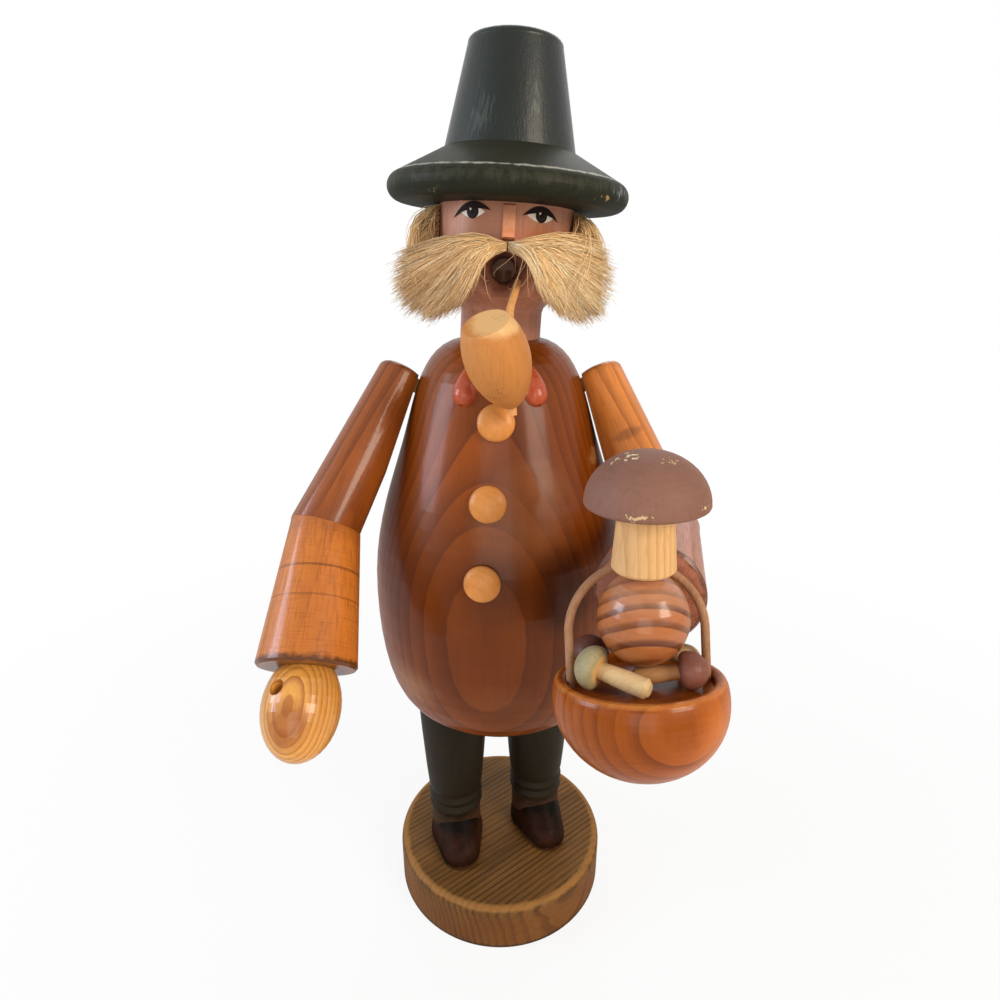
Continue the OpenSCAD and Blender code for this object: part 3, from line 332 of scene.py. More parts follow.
# Coat: pine with its pith behind, so that the rings close into ovals on the belly; brown stain, satin lacquer
coatLook = {
    "grain": upright, "lathe": upright, "pith": (20, 200), "bow": (139, 0.0012), "ringGap": 2.8, "ringShift": -0.04,
    "ringShape": coatRing, "faintest": 0.5, "ringDepth": 0.85, "drift": 2.2, "driftScale": 0.02,
    "early": "#8e450c", "late": "#4e2003", "deep": "#371502", "fibreDepth": 0.2, "cloudDepth": 0.55,
    "cloudScale": 0.028,
    "ringHeight": 0.02, "fibreHeight": 0.035, "toolHeight": 0.03, "toolDepth": 0.06, "toolScale": 0.5,
    "rough": 0.38, "lacquer": 0.22, "lacquerRough": 0.16, "specular": 0.1,
    "marks": [
        # A greyish purple-brown patch high on the left chest: a painted sheen of the window light
        {"at": (-26, -36, 168), "size": (15, 18, 34), "ragged": 1.0, "speckScale": 0.06, "colour": "#5a3524",
         "share": 0.45, "edge": 0.8},
        # A lighter warm patch high on the chest: a painted highlight
        {"at": (12, -46, 186), "size": (24, 20, 22), "ragged": 1.0, "speckScale": 0.06, "colour": "#9a5f38",
         "share": 0.55, "edge": 0.8},
        # A dark patch on the coat behind the left arm and the basket: a painted shadow
        {"at": (20, -42, 158), "size": (12, 14, 18), "ragged": 1.0, "speckScale": 0.08, "colour": "#3a1704",
         "share": 0.75, "edge": 0.6},
        # Darker across the middle of the belly: painted shade that takes back the front lamp's light there
        {"at": (0, -46, 160), "size": (26, 16, 15), "ragged": 0.8, "speckScale": 0.07, "colour": "#4f2206",
         "share": 0.5, "edge": 0.8},
        # A dark patch under the basket: a painted shadow
        {"at": (26, -38, 128), "size": (12, 14, 16), "ragged": 1.0, "speckScale": 0.08, "colour": "#3a1806",
         "share": 0.6, "edge": 0.7},
        {"at": (-38, -26, 135), "size": (9, 12, 26), "ragged": 1.0, "speckScale": 0.08, "colour": "#6a3213",
         "share": 0.5, "edge": 0.7},
        # A dark band round the hem: painted shade under the coat's lower edge
        {"at": (0, 0, 97.5), "ring": 34, "size": (6, 1, 4.5), "ragged": 0.8, "speckScale": 0.2, "colour": "#321505",
         "share": 0.75},
        # A lighter patch low on the belly: a painted highlight
        {"at": (0, -40, 118), "size": (14, 20, 9), "ragged": 0.5, "speckScale": 0.1, "colour": "#8f5832", "share": 0.35,
         "edge": 0.9},
        # A pale greyish patch low on the left: a painted sheen of the window light
        {"at": (-32, -32, 116), "size": (14, 16, 10), "ragged": 0.9, "speckScale": 0.1, "colour": "#a07650",
         "share": 0.45, "edge": 0.8},
        {"at": (35, -10, 196), "size": (9, 14, 3.5), "ragged": 1.4, "speckScale": 0.3, "colour": "#b98550",
         "share": 0.5},
    ]}
dress(woodFinish("lacquered pine coat", coatLook), "coat")

# Arms: the same stain over plainer pine, more orange on the sleeves; some of their colour is painted light, as said
# below
armLook = {
    "grain": rightArm, "lathe": rightArm, "pith": (-14, 26), "ringGap": 3.1, "ringDepth": 0.8, "drift": 3,
    "early": "#9c521c", "late": "#53250a", "deep": "#3c1a07", "cloudDepth": 0.5, "fibreDepth": 0.45,
    "toolDepth": 0.08, "toolScale": 0.6, "rough": 0.36, "lacquer": 0.35, "lacquerRough": 0.13,
    "marks": [
        # Darker at the top of the arm by the shoulder: painted shade
        {"at": (0, 0, 4), "place": rightArm, "size": (14, 14, 6), "ragged": 0.8, "speckScale": 0.2, "colour": "#3c1a0a",
         "share": 0.55},
        {"at": (0, 0, -56), "place": rightArm, "size": (30, 30, 10), "ragged": 1.0, "speckScale": 0.1,
         "colour": "#7d3f18", "share": 0.4},
    ]}
dress(woodFinish("lacquered pine, right upper arm", armLook), "right_upper_arm")
dress(woodFinish("lacquered pine, left upper arm", dict(
    # The left upper arm is painted much lighter and more orange than the right: painted light where the key lamp falls
    armLook, grain=leftArm, lathe=leftArm, pith=(16, 22), early="#e28c40", late="#9a551e", deep="#7a3e14", marks=[
        # Darker at the top of the arm by the shoulder: painted shade
        {"at": (0, 0, 4), "place": leftArm, "size": (14, 14, 6), "ragged": 0.8, "speckScale": 0.2, "colour": "#3c1a0a",
         "share": 0.5},
        {"at": (0, -8, -24), "place": leftArm, "size": (6, 10, 2.2), "ragged": 1.2, "speckScale": 0.3,
         "colour": "#3c1a0a", "share": 0.4},
    ])), "left_upper_arm")
sleeveLook = dict(
    armLook, grain=rightElbow, lathe=rightElbow, pith=(10, 40), ringGap=4.4, ringDepth=0.35, early="#d67f33",
    late="#a4571f",
    deep="#7c3b10", toolDepth=0.4, toolScale=1.7, toolHeight=0.12, fibreDepth=0.6, cloudDepth=0.25, marks=[
        {"at": (0, 0, -46.9), "place": rightElbow, "size": (17, 17, 0.9), "ragged": 0.3, "colour": "#4a2f1c",
         "share": 0.8, "edge": 0.2},
        {"at": (0, 0, -17), "place": rightElbow, "ring": 13.5, "size": (6, 1, 0.5), "ragged": 1.2, "speckScale": 0.3,
         "colour": "#5f2f10", "share": 0.6},
        {"at": (0, 0, -26.5), "place": rightElbow, "ring": 14, "size": (6, 1, 0.35), "ragged": 1.3, "speckScale": 0.3,
         "colour": "#7b4218", "share": 0.5},
        {"at": (0, 0, cuffDrop), "place": rightElbow, "ring": 15.4, "size": (1.6, 1, 2.6), "ragged": 1.4,
         "speckScale": 0.35,
         "colour": "#2c1407", "share": 0.8},
        {"at": (0, 0, 0), "place": rightElbow, "size": (30, 30, 9), "ragged": 0.8, "speckScale": 0.12,
         "colour": "#8a4b20", "share": 0.4},
    ])
dress(woodFinish("lacquered pine, right sleeve", sleeveLook), "right_forearm")
dress(woodFinish("lacquered pine, left sleeve", dict(
    # The left sleeve's mauve colours are a painted sheen of the window light over the orange-brown stain
    sleeveLook, grain=leftElbow, lathe=leftElbow, early="#be7c60", late="#7c4734", deep="#5a3022", toolDepth=0.3,
    marks=[
        {"at": (0, 0, cuffDrop), "place": leftElbow, "ring": 15.4, "size": (1.4, 1, 2.2), "ragged": 1.2,
         "speckScale": 0.35,
         "colour": "#2c1407", "share": 0.7},
    ])), "left_forearm")

# Hands: clear-lacquered pine balls, the rings show strongly
leftBall = shifted(*leftHand.translation)
rightHandLook = {
    "grain": rightHand @ turned("X", 6), "pith": (-20, -9), "ringGap": 1.7, "ringDepth": 0.85, "drift": 2.5,
    "driftScale": 0.05,
    "early": "#e8a750", "late": "#994a17", "deep": "#8a4014", "fibreDepth": 0.25, "cloudDepth": 0.3, "faintest": 0.35,
    "ringHeight": 0.04, "rough": 0.35, "lacquer": 0.55, "lacquerRough": 0.15, "marks": [
        {"at": (-9, -4, -6), "place": rightHand, "size": (6, 8, 9), "ragged": 0.5, "speckScale": 0.15,
         "colour": "#934a17", "share": 0.75},
        # A dark spot round the mouth of the drilled hole: painted shade of the hole, drawn wider than it
        {"at": (-58.5, -65.7, 131), "place": upright, "size": (4.6, 4.6, 4.6), "ragged": 0.2, "colour": "#2c1408",
         "share": 0.95, "edge": 0.3},
    ]}
dress(woodFinish("lacquered pine, right hand", rightHandLook), "right_hand")
leftHandLook = dict(
    rightHandLook, grain=leftBall @ turned("X", -16) @ turned("Y", 90), pith=(-46, 20), ringGap=3.7,
    ringShape=handRing, ringDepth=0.92, faintest=0.6, early="#b8703e", late="#3e1406", deep="#743816", marks=[
        # Lighter and paler on the top of the ball: a painted highlight
        {"at": (0, 0, 9), "place": leftBall, "size": (14, 14, 6), "ragged": 0.8, "speckScale": 0.15,
         "colour": "#c9a083", "share": 0.5, "edge": 0.8},
        # Darker on the lower front of the ball: painted shade
        {"at": (0, -6, -9), "place": leftBall, "size": (14, 14, 6), "ragged": 0.8, "speckScale": 0.15,
         "colour": "#7a3a1c", "share": 0.45, "edge": 0.8}])
dress(woodFinish("lacquered pine, left hand", leftHandLook), "left_hand")

# Buttons: little beech discs in clear lacquer
buttonLook = {"grain": turned("X", 12), "pith": (9, 30), "ringGap": 1.5, "ringDepth": 0.45, "early": "#db9148",
              "late": "#c07a38",
              "deep": "#ad6c33", "rough": 0.42, "lacquer": 0.2, "lacquerRough": 0.2, "drift": 1.5, "cloudScale": 0.12}
dress(woodFinish("lacquered beech buttons", buttonLook), "button_lower", "button_middle", "button_upper")

# Collar: two whittled drops in red-brown lacquer
collarLook = {"grain": upright, "pith": (0, 30), "ringGap": 1.5, "ringDepth": 0.35, "early": "#bd5631",
              "late": "#903c20",
              "deep": "#5f2213", "rough": 0.32, "lacquer": 0.4, "lacquerRough": 0.15, "drift": 1.5}
dress(woodFinish("lacquered beech collar", collarLook), "right_collar_end", "left_collar_end")

# Head: maple ball in a thin pinkish stain, warmer on the cheeks
skinLook = {
    "grain": headPlace, "lathe": headPlace, "pith": (6, 40), "ringGap": 2.4, "ringDepth": 0.3, "drift": 2,
    "early": "#cb9073", "late": "#a76d54", "deep": "#82503d", "fibreDepth": 0.4, "cloudDepth": 0.55, "cloudScale": 0.09,
    "toolDepth": 0.12, "rough": 0.42, "lacquer": 0.1, "lacquerRough": 0.2, "specular": 0.15, "marks": [
        {"at": (10, -20, 31), "place": headPlace, "size": (9, 8, 6), "ragged": 0.7, "speckScale": 0.15,
         "colour": "#b5622c", "share": 0.8, "edge": 0.8},
        {"at": (-11, -20, 32), "place": headPlace, "size": (8, 8, 5), "ragged": 0.7, "speckScale": 0.15,
         "colour": "#a9744f", "share": 0.6, "edge": 0.8},
        {"at": (0, 0, 2), "place": headPlace, "size": (30, 30, 8), "ragged": 0.6, "speckScale": 0.1,
         "colour": "#b98472", "share": 0.6, "edge": 0.8},
        {"at": (0, -20, 21.8), "place": headPlace, "size": (9.2, 6, 9.2), "ragged": 0.4, "speckScale": 0.3,
         "colour": "#4d1d10", "share": 0.85, "edge": 0.35, "rough": 0.7},
        {"at": (0, -14, 21.8), "place": headPlace, "size": (6.2, 10, 6.2), "ragged": 0.3, "speckScale": 0.3,
         "colour": "#0c0503", "share": 1, "edge": 0.3, "rough": 0.95},
    ]}
dress(woodFinish("stained maple head", skinLook), "head")
noseLook = dict(skinLook, early="#e8a27a", late="#c97f55", deep="#b26a44", lacquer=0.2, marks=[
    {"at": (0, -25, 31), "place": headPlace, "size": (5, 4, 3), "ragged": 1, "speckScale": 0.5, "colour": "#cf7c4e",
     "share": 0.6}])
dress(woodFinish("stained maple nose", noseLook), "nose")

# Hat: turned beech in green-black satin paint, worn through along the edge of the brim
crownLook = {
    "grain": headPlace, "pith": (0, 50), "ringGap": 2.2, "ringDepth": 0.25, "early": "#1b221d", "late": "#121613",
    "deep": "#0c0e0c", "fibreDepth": 0.35, "fibreScale": 1.6, "fibreHeight": 0.16, "rough": 0.36, "lacquer": 0.2,
    "lacquerRough": 0.2, "specular": 0.2, "marks": [
        # Two broken upright streaks on the front of the crown: painted highlights, reflections of the lamps
        {"at": (6, -17, 66), "place": headPlace, "size": (7, 8, 20), "ragged": 2.2, "speckScale": 1.1,
         "stretch": (1, 1, 0.05),
         "colour": "#5d635a", "share": 0.6, "cut": 0.8, "edge": 0.3, "rough": 0.5},
        {"at": (-9, -17, 62), "place": headPlace, "size": (12, 8, 20), "ragged": 2.2, "speckScale": 0.9,
         "stretch": (1, 1, 0.06),
         "colour": "#47514b", "share": 0.5, "cut": 0.72, "edge": 0.3},
    ]}
dress(woodFinish("painted beech crown", crownLook), "hat_crown")
brimLook = dict(crownLook, early="#2a2b20", late="#1e1f16", deep="#12130c", lathe=headPlace, toolScale=0.9,
                toolDepth=0.3,
                rough=0.56, lacquer=0.03, specular=0.08, marks=[
    {"at": (0, 0, 48.4), "place": headPlace, "ring": 35.6, "size": (1.3, 1, 1.3), "ragged": 2.0, "speckScale": 0.35,
     "colour": "#b5b4a6", "share": 0.75, "cut": 0.42, "edge": 0.4, "rough": 0.6},
    {"at": (0, 0, 46), "place": headPlace, "ring": 38.4, "size": (2.5, 1, 5), "ragged": 2.2, "speckScale": 0.5,
     "colour": "#4a4b3c", "share": 0.3, "cut": 0.6, "edge": 0.3, "stretch": (1, 1, 0.3)},
    {"at": (33, -20, 45), "place": headPlace, "size": (8, 10, 5), "ragged": 2.4, "speckScale": 0.9,
     "stretch": (1, 1, 0.35),
     "colour": "#8d979c", "share": 0.75, "cut": 0.75, "edge": 0.25, "rough": 0.5},
    {"at": (26, -24, 42.5), "place": headPlace, "size": (10, 12, 3), "ragged": 2.0, "speckScale": 0.6,
     "colour": "#a8895c",
     "share": 0.9, "cut": 0.85, "edge": 0.12, "rough": 0.7, "dent": 0.15},
    {"at": (-20, -30, 42), "place": headPlace, "size": (12, 12, 3), "ragged": 2.0, "speckScale": 0.6,
     "colour": "#8d7c5a",
     "share": 0.7, "cut": 0.95, "edge": 0.12, "rough": 0.7, "dent": 0.15},
])
dress(woodFinish("painted beech brim", brimLook), "hat_brim")

# Big mushroom: a matt mauve-brown cap with chips down to the primer, on a stem of clear pine
capLook = {
    "grain": shifted(36, -78, 205), "lathe": shifted(36, -78, 205), "ringGap": 2.2, "pith": (0, 60), "ringDepth": 0.12,
    "early": "#88604f", "late": "#76503f", "deep": "#694537", "toolDepth": 0.12, "rough": 0.62, "fibreHeight": 0.08,
    "cloudDepth": 0.35, "specular": 0.3, "marks": [
        {"at": (30.2, -83, 213), "place": upright, "size": (6, 4, 4), "ragged": 2.6, "speckScale": 0.55,
         "colour": "#e8d6ac",
         "share": 0.95, "cut": 0.5, "edge": 0.07, "rough": 0.8, "dent": 0.12},
        {"at": (38, -86, 213.4), "place": upright, "size": (5, 4, 4), "ragged": 2.6, "speckScale": 0.9,
         "colour": "#d9bd92",
         "share": 0.9, "cut": 0.78, "edge": 0.07, "rough": 0.8, "dent": 0.12},
        {"at": (30, -95.2, 203.9), "place": upright, "size": (9, 7, 2.2), "ragged": 2.6, "speckScale": 0.8,
         "colour": "#d8b98a",
         "share": 0.9, "cut": 0.85, "edge": 0.1, "rough": 0.8, "dent": 0.12},
        {"at": (45.8, -91.2, 205), "place": upright, "size": (7, 7, 2.6), "ragged": 2.6, "speckScale": 0.8,
         "colour": "#e3c79c",
         "share": 0.9, "cut": 0.9, "edge": 0.1, "rough": 0.8, "dent": 0.12},
    ]}
dress(woodFinish("matt painted cap", capLook), "big_mushroom_cap")
stemLook = {"grain": shifted(34, -80, 190) @ turned("Z", 8), "pith": (60, 6), "ringGap": 1.9, "ringDepth": 0.6,
            "early": "#dfb27a", "late": "#ad7840", "deep": "#a06c38", "rough": 0.55, "drift": 1.2, "cloudDepth": 0.15,
            "fibreDepth": 0.3, "ringHeight": 0.05}
dress(woodFinish("clear pine stem", stemLook), "big_mushroom_stem")

# Basket: pine bowl in orange-brown satin, its rings close into a broad oval on the front
basketLook = {
    "grain": basket, "lathe": basket, "pith": (-62, 190), "ringGap": 3.1, "ringShift": 0.14, "ringDepth": 0.8,
    "drift": 2.5, "driftScale": 0.03,
    "early": "#ac570f", "late": "#6a2d05", "deep": "#5c2404", "fibreDepth": 0.25, "toolDepth": 0.12, "toolScale": 0.6,
    "rough": 0.36, "lacquer": 0.28, "lacquerRough": 0.14, "specular": 0.1, "marks": [
        {"at": (0, 0, 0), "place": basket, "ring": 22.5, "size": (2.2, 1, 1.2), "ragged": 1.2, "speckScale": 0.25,
         "colour": "#d88a42", "share": 0.5},
        # A lighter orange patch on the right of the bowl: a painted highlight of the key lamp
        {"at": (17, -14, -8), "place": basket, "size": (12, 12, 16), "ragged": 0.7, "speckScale": 0.1,
         "colour": "#d97b2c", "share": 0.6, "edge": 0.9},
        # Darker inside the shallow hollow: painted shade
        {"at": (0, 0, -2), "place": basket, "size": (19, 19, 2), "ragged": 0.8, "speckScale": 0.2, "colour": "#4c1f08",
         "share": 0.6},
    ]}
dress(woodFinish("lacquered pine basket", basketLook), "basket_bowl")

# Cane: peeled willow reed, dull and greyish brown, for the handle and the pipe's stem
reedLook = {"grain": upright, "pith": (0, 12), "ringGap": 1.2, "ringDepth": 0.3, "early": "#b18562", "late": "#8d6648",
            "deep": "#73492f",
            "fibreScale": 2.2, "fibreDepth": 0.6, "rough": 0.6, "drift": 1.0, "cloudScale": 0.15, "fibreHeight": 0.12}
dress(woodFinish("willow reed, handle", reedLook), "basket_handle")
dress(woodFinish("willow reed, pipe", dict(reedLook, early="#e6a969", late="#bf8248", deep="#9a6536")), "pipe_stem")

# Small mushrooms: matt painted caps, pale stems
smallLook = {"grain": shifted(30, -95, 165) @ turned("Y", 60), "pith": (0, 25), "ringGap": 1.3, "ringDepth": 0.3,
             "rough": 0.55,
             "early": "#a59a74", "late": "#8a7f5a", "deep": "#6e6442", "lacquer": 0.1, "cloudScale": 0.12, "drift": 1.0}
tanNeck = basket @ Vector((-10.6, -5.6, 3.4))
dress(woodFinish("painted tan cap", dict(smallLook, marks=[
    {"at": tuple(tanNeck), "place": upright, "size": (7, 7, 7), "ragged": 0.5, "speckScale": 0.3, "colour": "#d9a566",
     "share": 0.85, "cut": 0.35, "edge": 0.2}])),
      "tan_mushroom_cap")
dress(woodFinish("clear beech stem", dict(smallLook, early="#dcbc88", late="#c49a64", deep="#a97f4e")),
      "tan_mushroom_stem")
dress(woodFinish("painted brown cap", dict(smallLook, early="#8a5748", late="#744437", deep="#5d3329", marks=[
    {"at": (50, -97, 161), "place": upright, "size": (3, 3, 3), "ragged": 1.8, "speckScale": 0.8, "colour": "#3a1c14",
     "share": 0.8, "cut": 0.6, "edge": 0.15}])), "brown_mushroom_cap")
dress(woodFinish("clear beech brown stem", dict(smallLook, early="#d8a06a", late="#b37a48", deep="#9c6438")),
      "brown_mushroom_stem")
dress(woodFinish("painted dark mushroom", dict(smallLook, early="#6b4336", late="#553027", deep="#43241d")),
      "dark_mushroom")
dress(woodFinish("painted pale mushroom", dict(smallLook, early="#e5c48f", late="#c59c63", deep="#ad8450")),
      "pale_mushroom")

# Pipe: limewood, sanded and oiled, with open pores on the end grain
pipeLow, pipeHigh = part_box("pipe_bowl")
pipeLook = {"grain": shifted(*[v / mm for v in (pipeLow + pipeHigh) / 2]) @ turned("X", 20),
            "pith": (8, 30), "ringGap": 2.2, "ringDepth": 0.2,
            "early": "#ca8646", "late": "#b57236", "deep": "#9c5e2a", "rough": 0.5, "lacquer": 0.08, "drift": 2.0,
            "fibreDepth": 0.3, "cloudDepth": 0.3, "marks": [
    {"at": (0, 0, 14), "size": (12, 12, 5), "ragged": 0.5, "colour": "#efc68a", "share": 0.7, "edge": 0.3},
    {"at": (0, 0, 14), "size": (9, 9, 5), "ragged": 2.4, "speckScale": 1.6, "colour": "#7c5a34", "share": 0.8,
     "cut": 0.9, "edge": 0.12},
    {"at": (0, -6, -6), "size": (10, 10, 12), "ragged": 2.4, "speckScale": 0.9, "colour": "#6f3a18", "share": 0.8,
     "cut": 1.05, "edge": 0.1},
]}
dress(woodFinish("oiled limewood pipe", pipeLook), "pipe_bowl")

# Tin plate and wire nail inside: rolled bright metal, brown with smoke tar
def smokedMetal(name, look):
    material, tree, shader = newMaterial(name)
    spot = addNode(tree, "Mapping", {"Vector": addNode(tree, "TexCoord").outputs["Object"],
                                     "Scale": (1 / mm,) * 3}).outputs[0]
    tar = addNode(tree, "TexNoise", {"Vector": spot, "Scale": look["tarScale"], "Detail": 4.0}).outputs["Fac"]
    tar = addNode(tree, "MapRange", {"Value": tar, "From Min": 0.45, "From Max": 0.65}).outputs[0]
    tint = addNode(tree, "Mix", {0: tar, 6: look["metal"], 7: look["tar"]}, data_type="RGBA").outputs[2]
    rough = addNode(tree, "MapRange", {"Value": tar, "To Min": look["rough"], "To Max": 0.7}).outputs[0]
    tree.links.new(tint, shader.inputs["Base Color"])
    tree.links.new(rough, shader.inputs["Roughness"])
    shader.inputs["Metallic"].default_value = 1
    bump = addNode(tree, "Bump", {"Height": tar, "Distance": 0.05 * mm})
    tree.links.new(bump.outputs[0], shader.inputs["Normal"])
    return material


dress(smokedMetal("smoked tin plate", {"metal": "#c4c2bc", "tar": "#5a4128", "rough": 0.3, "tarScale": 0.25}),
      "incense_tray")
dress(smokedMetal("bright steel nail", {"metal": "#b2b0aa", "tar": "#6b5a46", "rough": 0.25, "tarScale": 0.6}),
      "tray_nail")
print("the wooden pieces and the metal have their finishes")


# Eyes: thin skins of satin paint that lie on the round of the head, so they are drawn in its own u and z

def onHead(u, z, lift):
    angle = u / headRadius
    return headPlace @ Vector(((headRadius + lift) * math.sin(angle), -(headRadius + lift) * math.cos(angle), z)) * mm


def paintSkin(name, low, high, lift, material, steps=28):
    rows = 5
    thick = 0.05
    points, faces = [], []
    for level in (lift, lift - thick):
        for i in range(steps + 1):
            t = i / steps
            a, b = low(t), high(t)
            for j in range(rows + 1):
                k = j / rows
                points.append(onHead(a[0] + (b[0] - a[0]) * k, a[1] + (b[1] - a[1]) * k, level))
    side = (steps + 1) * (rows + 1)
    for i in range(steps):
        for j in range(rows):
            a = i * (rows + 1) + j
            corner = (a, a + rows + 1, a + rows + 2, a + 1)
            faces.append(corner)
            faces.append([v + side for v in reversed(corner)])
    rim = ([i * (rows + 1) for i in range(steps + 1)] + [steps * (rows + 1) + j for j in range(1, rows + 1)]
           + [i * (rows + 1) + rows for i in range(steps - 1, -1, -1)] + list(range(rows - 1, 0, -1)))
    for a, b in zip(rim, rim[1:] + rim[:1]):
        faces.append((b, a, a + side, b + side))
    mesh = bpy.data.meshes.new(name)
    mesh.from_pydata([tuple(p) for p in points], [], faces)
    piece = bpy.data.objects.new(name, mesh)
    bpy.context.scene.collection.objects.link(piece)
    bpy.ops.object.select_all(action="DESELECT")
    bpy.context.view_layer.objects.active = piece
    piece.select_set(True)
    bpy.ops.object.mode_set(mode="EDIT")
    bpy.ops.mesh.select_all(action="SELECT")
    bpy.ops.mesh.remove_doubles(threshold=2e-6)
    bpy.ops.mesh.normals_make_consistent(inside=False)
    bpy.ops.object.mode_set(mode="OBJECT")
    piece.data.materials.append(material)
    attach(piece, "upper_body")
    return piece


def enamel(name, look):
    material, tree, shader = newMaterial(name)
    spot = addNode(tree, "Mapping", {"Vector": addNode(tree, "TexCoord").outputs["Object"],
                                     "Scale": (1 / mm,) * 3}).outputs[0]
    brush = addNode(tree, "TexNoise", {"Vector": spot, "Scale": 1.2, "Detail": 3.0}).outputs["Fac"]
    tint = addNode(tree, "Mix", {0: brush, 6: look["thin"], 7: look["thick"]}, data_type="RGBA").outputs[2]
    rough = addNode(tree, "MapRange", {"Value": brush, "To Min": 0.5, "To Max": 0.6}).outputs[0]
    tree.links.new(tint, shader.inputs["Base Color"])
    tree.links.new(rough, shader.inputs["Roughness"])
    bump = addNode(tree, "Bump", {"Height": brush, "Distance": 0.05 * mm})
    tree.links.new(bump.outputs[0], shader.inputs["Normal"])
    shader.inputs["Specular IOR Level"].default_value = 0.12
    return material


def bowed(ends, rise):
    (u0, z0), (u1, z1) = ends
    return lambda t: (u0 + (u1 - u0) * t, z0 + (z1 - z0) * t + rise * 4 * t * (1 - t))


def disc(centre, radius, upper):
    sign = 1 if upper else -1
    return lambda t: (centre[0] - radius * math.cos(math.pi * t), centre[1] + sign * radius * math.sin(math.pi * t))


# Brushed enamel: warm white, near-black brown, dark grey-brown iris
whiteEnamel = enamel("warm white enamel", {"thin": "#e9dccb", "thick": "#f6efe2"})
blackEnamel = enamel("black-brown enamel", {"thin": "#2a1a14", "thick": "#100a08"})
irisEnamel = enamel("grey-brown enamel", {"thin": "#332d27", "thick": "#1a1613"})
eyes = {
    "right": {"white": ((-15.2, 37.7), (-6.6, 37.5)), "bottom": -1.75, "top": 1.5, "iris": (-10.6, 37.6),
              "irisRadius": 2.0,
              "lid": ((-17.8, 35.7), (-4.7, 37.9)), "lidLow": 1.35, "lidHigh": 3.5},
    "left": {"white": ((6.0, 37.3), (15.0, 37.0)), "bottom": -1.6, "top": 1.6, "iris": (10.6, 37.4), "irisRadius": 1.95,
             "lid": ((4.4, 37.0), (17.0, 36.0)), "lidLow": 1.4, "lidHigh": 3.5},
}
paintLift = {"white": 0.07, "ring": 0.12, "iris": 0.17, "pupil": 0.22, "lid": 0.26, "glint": 0.27}
irisShare, pupilShare = 0.74, 0.42
glintOffset, glintRadius = 0.6, 0.32
for side, eye in eyes.items():
    x, z = eye["iris"]
    r = eye["irisRadius"]
    white, lid, glint = eye["white"], eye["lid"], (x - glintOffset, z + glintOffset)
    paintSkin(side + "_eye_white", bowed(white, eye["bottom"]), bowed(white, eye["top"]), paintLift["white"],
              whiteEnamel)
    for part, radius, paint in (("ring", r, blackEnamel), ("iris", r * irisShare, irisEnamel),
                                ("pupil", r * pupilShare, blackEnamel)):
        paintSkin(side + "_eye_" + part, disc((x, z), radius, False), disc((x, z), radius, True), paintLift[part],
                  paint)
    paintSkin(side + "_eye_lid", bowed(lid, eye["lidLow"]), bowed(lid, eye["lidHigh"]), paintLift["lid"], blackEnamel)
    paintSkin(side + "_eye_glint", disc(glint, glintRadius, False), disc(glint, glintRadius, True), paintLift["glint"],
              whiteEnamel, steps=14)
print("the eyes are painted")


# Hair: tufts of real rabbit fur, far too many strands for bpy.ops, so they are drawn in mesh code

furLook = {"rootWidth": 0.15, "tipWidth": 0.04, "rings": 7, "ripple": 0.28, "skinGap": 0.35, "chin": 12, "brim": 40.0,
           "seed": 12}
random = np.random.default_rng(furLook["seed"])


